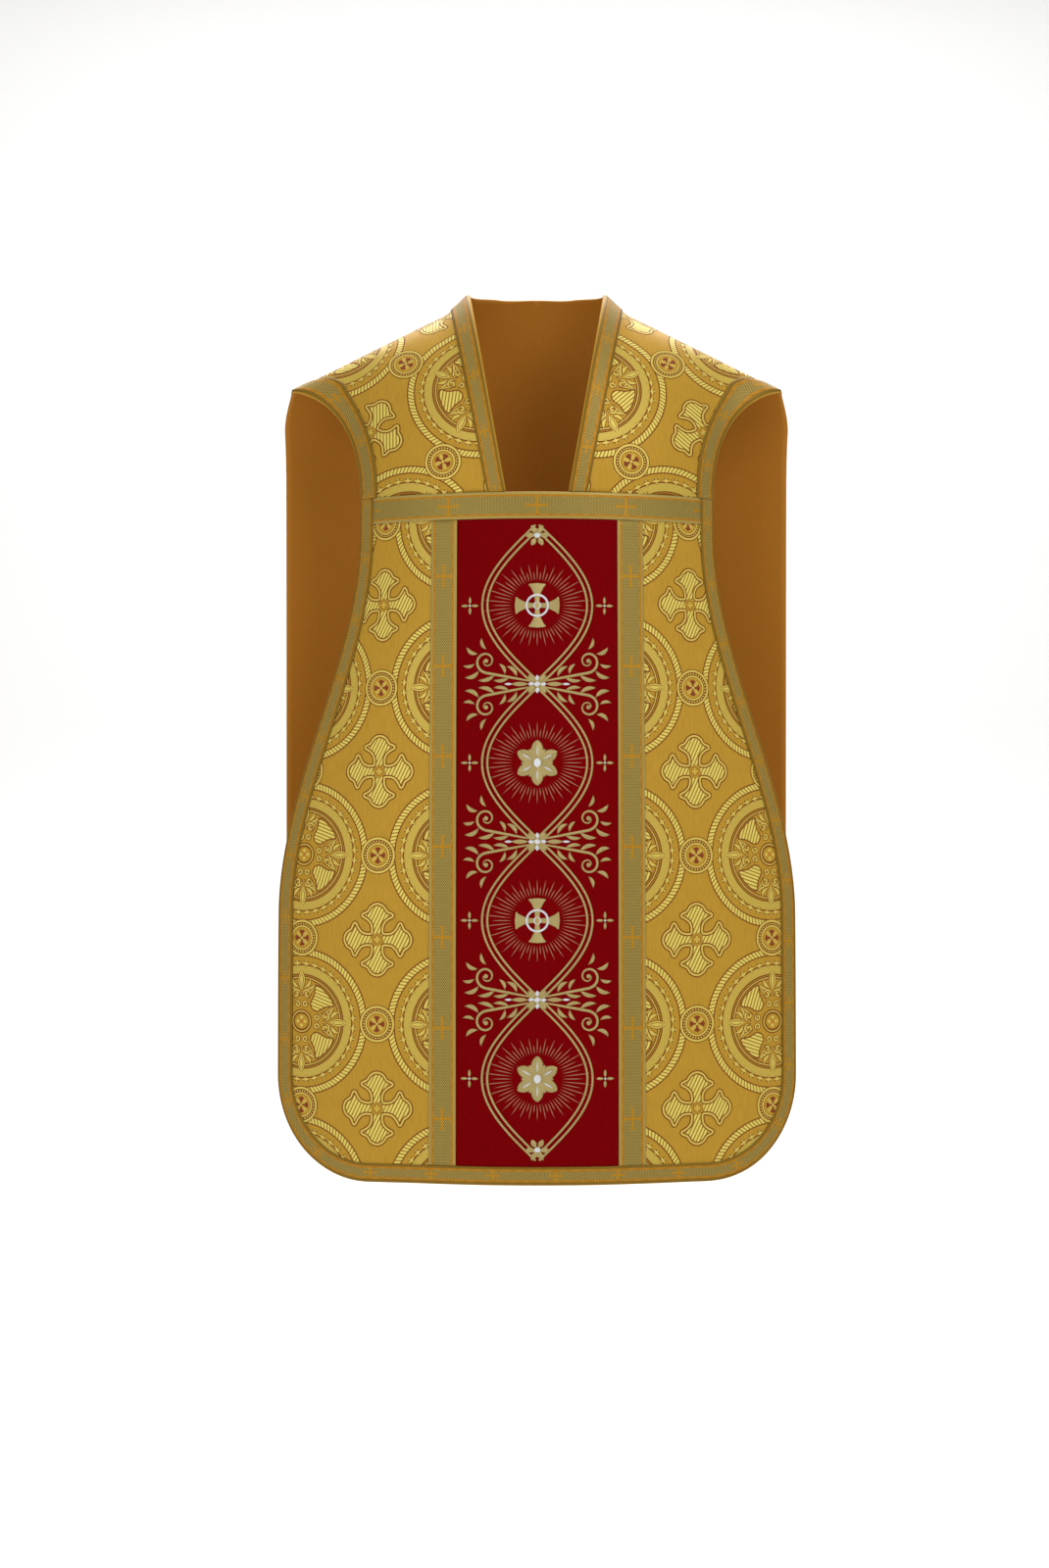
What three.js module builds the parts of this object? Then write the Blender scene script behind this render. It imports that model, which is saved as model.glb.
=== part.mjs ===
// A roman (fiddleback) chasuble, worn and hanging from the shoulders, with no wearer inside.
// Millimetres. +Z is up, the front faces -Y, and the origin is the middle of the neck opening,
// level with the tops of the shoulders, where the wearer carries the garment.
//
// Every cloth piece is a wall on smooth sheets:
//   frontSheet     the front, below the chest seam: arcs that get flatter towards the hem
//   shoulderArch   quarter ellipses that rise from the chest seam to the sloping shoulder ridge,
//                  and fall behind it to the shoulder blades
//   backSheet      the back, below the shoulder blades: nearly flat
// The back is cut in one with the two straps that come over the shoulders to the chest seam.
// Each sheet is the outer face of the panels. Panels go inwards from it, and what is sewn on a
// panel is made from the same sheet, moved out.

import * as THREE from 'three';

// ---- driving dimensions ------------------------------------------------------------------

const CHEST_SEAM_Z = -258;      // where the shoulder pieces meet the front, at the neck's foot
const FRONT_LENGTH = 818;       // chest seam to front hem
const BLADE_Z = -230;           // where the back stops following the shoulders and hangs
const BACK_LENGTH = 870;        // shoulder blades to back hem

const FRONT_TOP_HALF = 214.5;   // half width of the front where it is narrowest, straight across
const FRONT_HEM_HALF = 313;     // half width of the front at its widest, straight across
const FLARE_START = 42;         // the fiddle shape starts this far below the chest seam
const FLARE_RUN = 460;          // and has reached its full width this much lower
const CORNER_RADIUS = 122;      // rounded bottom corners, on the cloth
const BACK_HALF = 327;          // half width of the back, measured on the cloth

const CHEST_BOW = 150;          // how far the front stands out from the ridge, at the chest
const HEM_BOW = 172;            // and at the hem
const CHEST_RADIUS = 320;       // how the front is rounded across, at the chest
const HEM_RADIUS = 640;         // and at the hem
const FRONT_EASE = 600;         // the rounding changes over this height
const BLADE_BOW = 140;          // the same sizes for the back
const BACK_HEM_BOW = 160;
const BLADE_RADIUS = 800;
const BACK_HEM_RADIUS = 900;

const RIDGE_REFERENCE = 120;    // the shoulder ridge is RIDGE_DROP low this far from the middle
const RIDGE_DROP = 27;
const RIDGE_SLOPE = 0.5;        // fall of the ridge for each millimetre outwards
const RIDGE_ROUND = 45;         // the ridge is rounded off over about this width in the middle
const NECK_STAND = 26;          // the cloth climbs this much higher beside the neck
const STAND_FOOT = 120;         // the climb starts this far from the middle
const STAND_RUN = 72;           // and is complete this much closer in
const TIP_HALF = 305;           // half width at the tips of the shoulders
const TIP_POWER = 2.2;          // how fast the armhole runs in from the tip
const WING_RUN = 60;            // the chest's rounding fades out over this much of the shoulder

const NECK_FOOT_HALF = 37;      // half width of the neck opening at the chest seam
const NECK_SIDE_HALF = 84;      // and at the ridge
const NAPE_ANGLE = 37;          // the neck opening ends this far over the back, in degrees
const NAPE_RISE = 28;           // the cloth stands up this much behind the neck
const NAPE_WIDTH = 75;          // and this far to each side

const PANEL_THICKNESS = 2.2;    // damask with its stiff interlining
const BACK_THICKNESS = 1.4;
const LINING_THICKNESS = 0.8;
const BRAID_THICKNESS = 1;
const ORPHREY_THICKNESS = 0.8;
const SEAM_GAP = 0.3;           // between pieces that touch
const LIFT = 0.8;               // between a panel and what is sewn on it
const NAPE_LIFT = 1.1;          // more of it where the braid turns round the nape

const WIDE_BRAID = 33;          // on both sides of the orphrey
const CHEST_BRAID = 32;         // across the chest
const NARROW_BRAID = 22;        // round every edge
const ORPHREY_HALF = 96;        // half width of the red orphrey

// Soft folds: across is the place on the cloth, width is how far it reaches to each side, rise is
// how far it stands out (or in, if negative), and it grows from start to full, both measured down.
const FRONT_FOLDS = [
  { across: -232, width: 74, rise: 4.5, start: 240, full: 760 },
  { across: -150, width: 62, rise: -3.5, start: 330, full: 800 },
  { across: 168, width: 66, rise: -4, start: 260, full: 790 },
  { across: 250, width: 70, rise: 4, start: 300, full: 780 },
];
const BACK_FOLDS = [
  { across: -238, width: 70, rise: 6, start: 60, full: 560 },
  { across: -132, width: 76, rise: -6.5, start: 110, full: 640 },
  { across: -20, width: 80, rise: 5, start: 180, full: 700 },
  { across: 112, width: 72, rise: -6, start: 90, full: 590 },
  { across: 226, width: 78, rise: 6.5, start: 140, full: 660 },
];

// ---- small helpers -----------------------------------------------------------------------

const clamp = (t, low, high) => Math.min(high, Math.max(low, t));
const mix = (a, b, t) => a + (b - a) * t;
const radians = (degrees) => (degrees * Math.PI) / 180;
const steps = (count) => Array.from({ length: count + 1 }, (_, k) => k / count);

// Rises smoothly from 0 to 1 while t goes from 0 to 1.
function smooth(t) {
  const s = clamp(t, 0, 1);
  return s * s * (3 - 2 * s);
}

// How far a list of folds lifts the cloth at a place.
function foldRise(folds, across, down) {
  return folds.reduce((sum, fold) => {
    const side = Math.exp(-(((across - fold.across) / fold.width) ** 2));
    return sum + fold.rise * side * smooth((down - fold.start) / (fold.full - fold.start));
  }, 0);
}

// ---- the three sheets --------------------------------------------------------------------

// Depth of an arc of the given radius at a straight distance x from its middle.
const arcDepth = (radius, x) => radius - Math.sqrt(radius * radius - x * x);

function frontSheet(across, down) {
  const radius = mix(CHEST_RADIUS, HEM_RADIUS, smooth(down / FRONT_EASE));
  const bow = mix(CHEST_BOW, HEM_BOW, down / FRONT_LENGTH) + foldRise(FRONT_FOLDS, across, down);
  const turn = across / radius;
  return new THREE.Vector3(
    radius * Math.sin(turn),
    radius * (1 - Math.cos(turn)) - bow,
    CHEST_SEAM_Z - down,
  );
}

function backSheet(across, down) {
  const radius = mix(BLADE_RADIUS, BACK_HEM_RADIUS, smooth(down / BACK_LENGTH));
  const bow = mix(BLADE_BOW, BACK_HEM_BOW, down / BACK_LENGTH) + foldRise(BACK_FOLDS, across, down);
  const turn = across / radius;
  return new THREE.Vector3(
    radius * Math.sin(turn),
    bow - radius * (1 - Math.cos(turn)),
    BLADE_Z - down,
  );
}

// Height of the shoulder ridge: a roof with a rounded top, with the stand beside the neck.
function ridgeHeight(x) {
  const out = Math.hypot(x, RIDGE_ROUND) - Math.hypot(RIDGE_REFERENCE, RIDGE_ROUND);
  const roof = -RIDGE_DROP - RIDGE_SLOPE * out;
  return roof + NECK_STAND * smooth((STAND_FOOT - Math.abs(x)) / STAND_RUN);
}

// How far the arch reaches forward. Beyond the chest its rounding fades out in a parabola.
function frontReach(x) {
  const out = Math.abs(x);
  const inside = Math.min(out, FRONT_TOP_HALF);
  const past = clamp(out - FRONT_TOP_HALF, 0, WING_RUN);
  const slope = FRONT_TOP_HALF / Math.sqrt(CHEST_RADIUS ** 2 - FRONT_TOP_HALF ** 2);
  return CHEST_BOW - arcDepth(CHEST_RADIUS, inside) - slope * (past - past ** 2 / (2 * WING_RUN));
}

const backReach = (x) => BLADE_BOW - arcDepth(BLADE_RADIUS, x);

// angle is -90 at the chest seam, 0 on the ridge and 90 at the shoulder blades.
function shoulderArch(x, angle) {
  const turn = radians(angle);
  const reach = angle < 0 ? frontReach(x) : backReach(x);
  const foot = angle < 0 ? CHEST_SEAM_Z : BLADE_Z;
  const top = ridgeHeight(x);
  const nape = angle > 0 ? NAPE_RISE * Math.exp(-((x / NAPE_WIDTH) ** 2)) * Math.sin(2 * turn) : 0;
  const height = mix(foot, top, Math.cos(turn)) + nape;
  return new THREE.Vector3(x, reach * Math.sin(turn), height);
}

// Half width of the neck opening, measured straight across.
function neckHalf(angle) {
  if (angle >= NAPE_ANGLE) return 0;
  if (angle > 0) return NECK_SIDE_HALF * Math.sqrt(1 - (angle / NAPE_ANGLE) ** 2);
  const c = Math.cos(radians(angle));
  return mix(NECK_FOOT_HALF, NECK_SIDE_HALF, 1.15 * c - 0.15 * c * c);
}

const BACK_HALF_ACROSS = BLADE_RADIUS * Math.sin(BACK_HALF / BLADE_RADIUS);

// Half width of the arch at its outer edge: the armhole in front, the back's side behind.
function edgeHalf(angle) {
  if (angle >= 0) return mix(TIP_HALF, BACK_HALF_ACROSS, smooth(angle / 50));
  return mix(FRONT_TOP_HALF, TIP_HALF, Math.cos(radians(angle)) ** TIP_POWER);
}

// ---- stations: a point on a sheet with its outward normal ---------------------------------

const STEP = 0.05;

function station(sheet, a, b, sign) {
  const alongA = sheet(a + STEP, b).sub(sheet(a - STEP, b));
  const alongB = sheet(a, b + STEP).sub(sheet(a, b - STEP));
  const normal = alongA.cross(alongB).multiplyScalar(sign).normalize();
  return { point: sheet(a, b), normal };
}

const onFront = (across, down) => station(frontSheet, across, down, -1);
const onBack = (across, down) => station(backSheet, across, down, 1);
const onArch = (x, angle) => station(shoulderArch, x, angle, 1);

// Moves a place on a sheet sideways from the path of an edge, by a real distance on the cloth.
// before and after are the edge's neighbouring places, and side is 1 or -1.
function inset(sheet, place, before, after, distance, side) {
  const [a, b] = place;
  const alongA = sheet(a + STEP, b).sub(sheet(a - STEP, b)).divideScalar(2 * STEP);
  const alongB = sheet(a, b + STEP).sub(sheet(a, b - STEP)).divideScalar(2 * STEP);
  const tangent = sheet(...after).sub(sheet(...before)).normalize();
  const normal = alongA.clone().cross(alongB).normalize();
  const inward = normal.cross(tangent).multiplyScalar(side * distance);
  const aa = alongA.dot(alongA);
  const ab = alongA.dot(alongB);
  const bb = alongB.dot(alongB);
  const pa = inward.dot(alongA);
  const pb = inward.dot(alongB);
  const area = aa * bb - ab * ab;
  return [a + (pa * bb - pb * ab) / area, b + (pb * aa - pa * ab) / area];
}

// ---- walls ---------------------------------------------------------------------------------

// A closed wall from stations and the four-sided cells between them. Its faces lie at the two
// given distances from the sheet, and a rim closes it along every edge that has only one cell.
function wall(name, stations, cells, inner, outer, material) {
  const count = stations.length;
  const place = (distance) =>
    stations.map((s) => s.point.clone().addScaledVector(s.normal, distance));
  const positions = [...place(outer), ...place(inner)];
  const faces = [];
  const uses = new Map();
  for (const [a, b, c, d] of cells) {
    faces.push([a, b, c], [a, c, d]);
    faces.push([count + a, count + c, count + b], [count + a, count + d, count + c]);
    for (const [from, to] of [[a, b], [b, c], [c, d], [d, a]]) {
      if (!uses.delete(`${to} ${from}`)) uses.set(`${from} ${to}`, [from, to]);
    }
  }
  for (const [from, to] of uses.values()) {
    faces.push([to, from, count + from], [to, count + from, count + to]);
  }
  const volume = faces.reduce((sum, [a, b, c]) => {
    const [p, q, r] = [positions[a], positions[b], positions[c]];
    return sum + p.dot(q.clone().cross(r));
  }, 0);
  const index = volume < 0 ? faces.flatMap(([a, b, c]) => [a, c, b]) : faces.flat();
  const geometry = new THREE.BufferGeometry();
  const flat = positions.flatMap((p) => [p.x, p.y, p.z]);
  geometry.setAttribute('position', new THREE.Float32BufferAttribute(flat, 3));
  geometry.setIndex(index);
  geometry.computeVertexNormals();
  const mesh = new THREE.Mesh(geometry, material);
  mesh.name = name;
  return mesh;
}

// A wall from rows of stations, all of the same length.
function rowsWall(name, rows, inner, outer, material) {
  const width = rows[0].length;
  const cells = [];
  for (let j = 0; j + 1 < rows.length; j += 1) {
    for (let i = 0; i + 1 < width; i += 1) {
      const a = j * width + i;
      cells.push([a, a + 1, a + width + 1, a + width]);
    }
  }
  return wall(name, rows.flat(), cells, inner, outer, material);
}

// ---- outlines of the two panels, on the cloth ----------------------------------------------

// Half width of the front on the cloth, above its rounded corner.
function frontHalf(down) {
  const flat = mix(FRONT_TOP_HALF, FRONT_HEM_HALF, smooth((down - FLARE_START) / FLARE_RUN));
  const radius = mix(CHEST_RADIUS, HEM_RADIUS, smooth(down / FRONT_EASE));
  return radius * Math.asin(flat / radius);
}

const backHalf = () => BACK_HALF;

// The place on a panel's right edge for a share from 0 (top) to 1 (middle of the hem), with the
// side, the quarter circle of the corner and the hem each taking their part of the shares.
const SIDE_SHARE = 0.5;
const CORNER_SHARE = 0.25;

function edgePlace(half, length, share) {
  const low = length - CORNER_RADIUS;
  const centre = half(low) - CORNER_RADIUS;
  if (share <= SIDE_SHARE) {
    const down = (low * share) / SIDE_SHARE;
    return [half(down), down];
  }
  if (share <= SIDE_SHARE + CORNER_SHARE) {
    const turn = radians((90 * (share - SIDE_SHARE)) / CORNER_SHARE);
    return [centre + CORNER_RADIUS * Math.cos(turn), low + CORNER_RADIUS * Math.sin(turn)];
  }
  const left = (1 - share) / (1 - SIDE_SHARE - CORNER_SHARE);
  return [centre * left, length];
}

const CORNER_MIDDLE = SIDE_SHARE + CORNER_SHARE / 2;

// The right half of a panel outside the column `inside`, as rows of [across, down]: a Coons patch
// between that column, the edge down to the middle of the corner, the hem and the top.
function sidePatch(half, length, inside, columns, rows) {
  const hemShare = 1 - ((1 - SIDE_SHARE - CORNER_SHARE) * inside) / (half(length) - CORNER_RADIUS);
  const topRight = edgePlace(half, length, 0);
  const lowRight = edgePlace(half, length, CORNER_MIDDLE);
  const lerp = (p, q, t) => [mix(p[0], q[0], t), mix(p[1], q[1], t)];
  return rows.map((t) => {
    const innerSide = [inside, length * t];
    const outerSide = edgePlace(half, length, CORNER_MIDDLE * t);
    return columns.map((s) => {
      const top = lerp([inside, 0], topRight, s);
      const low = edgePlace(half, length, mix(hemShare, CORNER_MIDDLE, s));
      const between = lerp(innerSide, outerSide, s);
      const along = lerp(top, low, t);
      const corners = lerp(lerp([inside, 0], topRight, s), lerp([inside, length], lowRight, s), t);
      return [between[0] + along[0] - corners[0], between[1] + along[1] - corners[1]];
    });
  });
}

// Joins a right half, given as rows of places that start at the middle, to its mirror image.
function bothHalves(rows) {
  return rows.map((row) => {
    const left = row.slice(1).reverse().map(([across, down]) => [-across, down]);
    return [...left, ...row];
  });
}

const FRONT_ROWS = steps(20);
const FRONT_MIDDLE = [0, ORPHREY_HALF / 3, (2 * ORPHREY_HALF) / 3, ORPHREY_HALF];
const FRONT_SIDE_COLUMNS = steps(6);
const BACK_ROWS = steps(17);
const BACK_INNER_HALF = 107;
const BACK_MIDDLE = [0, NARROW_BRAID, 2 * NARROW_BRAID];
const BACK_SIDE_COLUMNS = [0, 0.225, 0.45, 0.675, 0.9, 1];

// ---- materials -----------------------------------------------------------------------------

const cloth = (color, roughness, metalness) =>
  new THREE.MeshStandardMaterial({ color, roughness, metalness });
const DAMASK = cloth(0xc99a3c, 0.55, 0.1);
const LINING = cloth(0xb8782a, 0.7, 0);
const RED_CLOTH = cloth(0x8e0a12, 0.75, 0);
const BRAID = cloth(0xae9546, 0.45, 0.4);

// ---- the cut pieces --------------------------------------------------------------------------

function frontPanel() {
  const inside = ORPHREY_HALF + WIDE_BRAID;
  const side = sidePatch(frontHalf, FRONT_LENGTH, inside, FRONT_SIDE_COLUMNS, FRONT_ROWS);
  const half = side.map((row, j) => [
    ...FRONT_MIDDLE.map((across) => [across, FRONT_LENGTH * FRONT_ROWS[j]]),
    ...row,
  ]);
  const rows = bothHalves(half).map((row) => row.map(([across, down]) => onFront(across, down)));
  return rowsWall('front_panel', rows, -PANEL_THICKNESS, 0, DAMASK);
}

// Rows of the arch, as angles: the straps from the chest seam to the ridge, then the rows that end
// on the curve of the neck opening, then the blades.
const SEAM_GAP_ANGLE = 0.12;    // about SEAM_GAP on the arch, in degrees
const STRAP_ANGLES = steps(12).map((t) => mix(-90 + SEAM_GAP_ANGLE, 0, t));
const NAPE_TURNS = steps(5).slice(1).map((t) => (t * Math.PI) / 2);
const NAPE_ANGLES = NAPE_TURNS.map((turn) => NAPE_ANGLE * Math.sin(turn));
const BLADE_ANGLES = steps(6).slice(1, -1).map((t) => mix(NAPE_ANGLE, 90, t));
const ARCH_ANGLES = [...STRAP_ANGLES, ...NAPE_ANGLES, ...BLADE_ANGLES];
const NAPE_ROW = STRAP_ANGLES.length + NAPE_ANGLES.length - 1;

// The width across of a braid on an edge that slants: half(angle) is the edge's half width.
function slantWidth(half, angle) {
  const x = half(angle);
  const run = (half(angle + STEP) - half(angle - STEP)) / 2;
  const rise = shoulderArch(x, angle + STEP).distanceTo(shoulderArch(x, angle - STEP)) / 2;
  return NARROW_BRAID * Math.hypot(1, run / rise);
}

// The columns of a row of the arch: two as wide as half a braid at the neck, which grow to twice
// that at the blades, one as wide as a braid at the armhole, and the others between them.
function archColumns(angle) {
  const growth = 1 + Math.max(angle, 0) / 90;
  const first = neckHalf(angle);
  const neckBand = angle > 0 ? NARROW_BRAID * growth : slantWidth(neckHalf, angle);
  const inner = first + neckBand;
  const outer = edgeHalf(angle) - slantWidth(edgeHalf, angle);
  const between = steps(BACK_SIDE_COLUMNS.length - 1).slice(1, -1).map((t) => mix(inner, outer, t));
  return [first, first + neckBand / 2, inner, ...between, outer, edgeHalf(angle)];
}

// The back, its straps and its lining share their stations. Above the nape the two halves part,
// and a row starts at the edge of the neck opening and not in the middle.
function backStations() {
  const patch = sidePatch(backHalf, BACK_LENGTH, BACK_INNER_HALF, BACK_SIDE_COLUMNS, BACK_ROWS);
  const hanging = patch.map((row, j) => [
    ...BACK_MIDDLE.map((across) => [across, BACK_LENGTH * BACK_ROWS[j]]),
    ...row,
  ]);
  const arch = ARCH_ANGLES.map((angle) => archColumns(angle).map((x) => [x, angle]));
  const stations = [];
  const cells = [];
  const middle = new Map();
  const add = (on, side, place, row, column) => {
    const shared = column === 0 && row >= NAPE_ROW;
    if (shared && middle.has(row)) return middle.get(row);
    const at = stations.push(on(side * place[0], place[1])) - 1;
    if (shared) middle.set(row, at);
    return at;
  };
  for (const side of [1, -1]) {
    const rows = [
      ...arch.map((row, j) => row.map((place, i) => add(onArch, side, place, j, i))),
      ...hanging.map((row, j) => row.map((place, i) => add(onBack, side, place, arch.length + j, i))),
    ];
    for (let j = 0; j + 1 < rows.length; j += 1) {
      for (let i = 0; i + 1 < rows[j].length; i += 1) {
        const cell = [rows[j][i], rows[j][i + 1], rows[j + 1][i + 1], rows[j + 1][i]];
        cells.push(side > 0 ? cell : cell.reverse());
      }
    }
  }
  return { stations, cells };
}

function backPanel() {
  const { stations, cells } = backStations();
  return wall('back_panel', stations, cells, -BACK_THICKNESS, 0, DAMASK);
}

function backLining() {
  const { stations, cells } = backStations();
  const outer = -BACK_THICKNESS - SEAM_GAP;
  return wall('back_lining', stations, cells, outer - LINING_THICKNESS, outer, LINING);
}

// ---- orphrey and braids ------------------------------------------------------------------------

const BRAID_TOP = CHEST_BRAID + SEAM_GAP;                           // they start below the chest braid
const BRAID_FOOT = FRONT_LENGTH - NARROW_BRAID - SEAM_GAP;          // and stop above the hem braid

// Rows of the front between two depths: the panel's own rows, with the ends put where asked.
const ROW_MARGIN = 4;           // and a row of its own is left out so close to an end

function frontRowsBetween(top, foot) {
  const own = FRONT_ROWS.map((t) => t * FRONT_LENGTH)
    .filter((down) => down > top + ROW_MARGIN && down < foot - ROW_MARGIN);
  return [top, ...own, foot];
}

function frontStrip(name, columns, thickness, material) {
  const rows = frontRowsBetween(BRAID_TOP, BRAID_FOOT)
    .map((down) => columns.map((across) => onFront(across, down)));
  return rowsWall(name, rows, LIFT, LIFT + thickness, material);
}

function frontOrphrey() {
  const right = FRONT_MIDDLE.slice(1, -1);
  const edge = ORPHREY_HALF - SEAM_GAP / 2;
  const columns = [-edge, ...right.map((x) => -x).reverse(), 0, ...right, edge];
  return frontStrip('front_orphrey', columns, ORPHREY_THICKNESS, RED_CLOTH);
}

function orphreyBraid(name, side) {
  const columns = [ORPHREY_HALF + SEAM_GAP / 2, ORPHREY_HALF + WIDE_BRAID].map((x) => side * x);
  return frontStrip(name, columns, BRAID_THICKNESS, BRAID);
}

// The chest braid crosses the top of the front, between the two edge braids.
function chestBraid() {
  const corner = [frontHalf(0), 0];
  const [reach] = inset(frontSheet, corner, corner, [frontHalf(1), 1], NARROW_BRAID, 1);
  const end = reach - 3 * SEAM_GAP;
  const inside = ORPHREY_HALF + WIDE_BRAID;
  const [outside] = sidePatch(frontHalf, FRONT_LENGTH, inside, FRONT_SIDE_COLUMNS, [0]);
  const columns = outside.map(([across]) => across).filter((across) => across < end - ROW_MARGIN);
  const right = [...FRONT_MIDDLE.slice(1), ...columns, end];
  const all = [...right.map((across) => -across).reverse(), 0, ...right];
  const rows = [0, CHEST_BRAID].map((down) => all.map((across) => onFront(across, down)));
  return rowsWall('chest_braid', rows, LIFT, LIFT + BRAID_THICKNESS, BRAID);
}

// A braid along an edge. Each step of the path has its place on a sheet and the places before and
// after it, and the braid lies inside the edge.
const NUDGE = 0.002;

function braidRows(path) {
  return path.map(({ sheet, on, place, before, after }) => {
    const inner = inset(sheet, place, before, after, NARROW_BRAID, -1);
    return [on(...place), on(...inner)];
  });
}

// The steps of a path along a panel's edge, down the left side, along the hem and up the right:
// they are the panel's own corners, so that braid and panel bend in the same places.
function panelPath(sheet, on, half, length, middle, inside, columns, rows, topGap) {
  const hemShare = (across) =>
    1 - ((1 - SIDE_SHARE - CORNER_SHARE) * across) / (half(length) - CORNER_RADIUS);
  const hem = [...middle.slice(1), inside].map(hemShare);
  const corner = columns.slice(1).map((s) => mix(hemShare(inside), CORNER_MIDDLE, s));
  const side = [...rows].reverse().slice(1).map((t) => CORNER_MIDDLE * t);
  const right = [...hem, ...corner, ...side].map((share) => 1 - share);
  const placeAt = (share) => {
    const [across, down] = edgePlace(half, length, 1 - Math.abs(share));
    return [Math.sign(share) * across, Math.max(down, topGap)];
  };
  return [...right.map((share) => -share).reverse(), 0, ...right].map((share) => ({
    sheet,
    on,
    place: placeAt(share),
    before: placeAt(Math.max(share - NUDGE, -1)),
    after: placeAt(Math.min(share + NUDGE, 1)),
  }));
}

function frontEdgeBraid() {
  const inside = ORPHREY_HALF + WIDE_BRAID;
  const path = panelPath(frontSheet, onFront, frontHalf, FRONT_LENGTH,
    FRONT_MIDDLE, inside, FRONT_SIDE_COLUMNS, FRONT_ROWS, SEAM_GAP);
  return rowsWall('edge_braid_front', braidRows(path), LIFT, LIFT + BRAID_THICKNESS, BRAID);
}

// The stations of a braid along an armhole, which are the panel's own two outermost columns.
function armholeRows(side) {
  return ARCH_ANGLES.map((angle) => {
    const [outer, edge] = archColumns(angle).slice(-2);
    return [onArch(side * edge, angle), onArch(side * outer, angle)];
  });
}

function backEdgeBraid() {
  const hanging = panelPath(backSheet, onBack, backHalf, BACK_LENGTH,
    BACK_MIDDLE, BACK_INNER_HALF, BACK_SIDE_COLUMNS, BACK_ROWS, 0);
  const rows = [...armholeRows(-1), ...braidRows(hanging), ...armholeRows(1).reverse()];
  return rowsWall('edge_braid_back', rows, LIFT, LIFT + BRAID_THICKNESS, BRAID);
}

// The neck braid goes up from the chest seam, round the nape and down the other side. On the
// straps it has the panel's own three innermost columns.
function neckBraid() {
  const strapRows = (side) => STRAP_ANGLES.map((angle) =>
    archColumns(angle).slice(0, 3).map((x) => onArch(side * x, angle)));
  const turns = [...NAPE_TURNS, ...NAPE_TURNS.slice(0, -1).reverse().map((turn) => Math.PI - turn)];
  const napePlace = (turn) => [-NECK_SIDE_HALF * Math.cos(turn), NAPE_ANGLE * Math.sin(turn)];
  const nape = turns.map((turn) => {
    const [place, before, after] = [turn, turn - NUDGE, turn + NUDGE].map(napePlace);
    return [0, 0.5, 1].map((share) => {
      const at = onArch(...inset(shoulderArch, place, before, after, share * NARROW_BRAID, 1));
      at.point.addScaledVector(at.normal, NAPE_LIFT * Math.sqrt(Math.sin(turn)));
      return at;
    });
  });
  const rows = [...strapRows(-1), ...nape, ...strapRows(1).reverse()];
  return rowsWall('neck_braid', rows, LIFT, LIFT + BRAID_THICKNESS, BRAID);
}

// ---- the garment -----------------------------------------------------------------------------

const chasuble = new THREE.Group();
chasuble.add(
  frontPanel(),
  backPanel(),
  backLining(),
  frontOrphrey(),
  orphreyBraid('orphrey_braid_left', 1),
  orphreyBraid('orphrey_braid_right', -1),
  chestBraid(),
  neckBraid(),
  frontEdgeBraid(),
  backEdgeBraid(),
);

export default chasuble;
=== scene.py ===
# %% [markdown]
# # A roman chasuble in gold damask
#
# A chasuble is the outer garment of a vestment set. This one has the roman cut: a front shaped
# like a fiddle and a straight back, held by two straps that are cut in one with the back and come
# over the shoulders. The script dresses a plain frame with the cloth, the woven braids and the
# embroidery. Every shape below is written in millimetres and becomes metres only when a mesh is
# made. The frame itself is never moved: it says where each piece has to be.

# %% Load the frame
from collections import namedtuple

import bpy
import numpy as np
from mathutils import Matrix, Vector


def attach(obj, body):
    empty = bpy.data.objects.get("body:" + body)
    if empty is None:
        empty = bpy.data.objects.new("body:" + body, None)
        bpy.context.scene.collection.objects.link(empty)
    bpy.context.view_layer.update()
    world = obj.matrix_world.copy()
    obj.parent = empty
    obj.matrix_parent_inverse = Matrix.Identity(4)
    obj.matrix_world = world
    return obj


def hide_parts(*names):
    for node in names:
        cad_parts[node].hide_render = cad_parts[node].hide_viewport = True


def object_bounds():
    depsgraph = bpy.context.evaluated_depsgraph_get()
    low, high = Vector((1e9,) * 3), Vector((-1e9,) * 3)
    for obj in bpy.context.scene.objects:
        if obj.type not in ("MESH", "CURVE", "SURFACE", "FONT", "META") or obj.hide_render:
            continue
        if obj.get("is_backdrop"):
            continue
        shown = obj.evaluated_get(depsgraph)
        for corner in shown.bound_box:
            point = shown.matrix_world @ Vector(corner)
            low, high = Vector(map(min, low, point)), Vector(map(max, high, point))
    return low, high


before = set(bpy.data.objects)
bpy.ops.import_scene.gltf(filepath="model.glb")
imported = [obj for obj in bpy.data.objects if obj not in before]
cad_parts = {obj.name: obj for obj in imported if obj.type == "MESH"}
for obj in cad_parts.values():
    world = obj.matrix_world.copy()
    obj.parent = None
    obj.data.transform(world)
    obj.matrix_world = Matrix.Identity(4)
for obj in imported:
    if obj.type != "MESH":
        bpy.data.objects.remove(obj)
cad_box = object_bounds()
MM = 0.001
print("nodes:", sorted(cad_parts))

# %% [markdown]
# ## Camera, floor and light
#
# The garment is seen straight from the front, from a little more than three metres, at the height
# of its middle. A long lens keeps the sides parallel. The set is a pale floor that curves up into
# a wall, so that no corner shows, and large soft lights stand in front of it: satin needs a wide
# light to glow, and a small one would only make it glitter.

# %% The camera
CAMERA_PLACE = (-0.015, -3.15, -0.604)
CAMERA_HALF_VIEW = 0.3093       # half the height of the view, at a distance of one
SENSOR = 36

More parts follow.
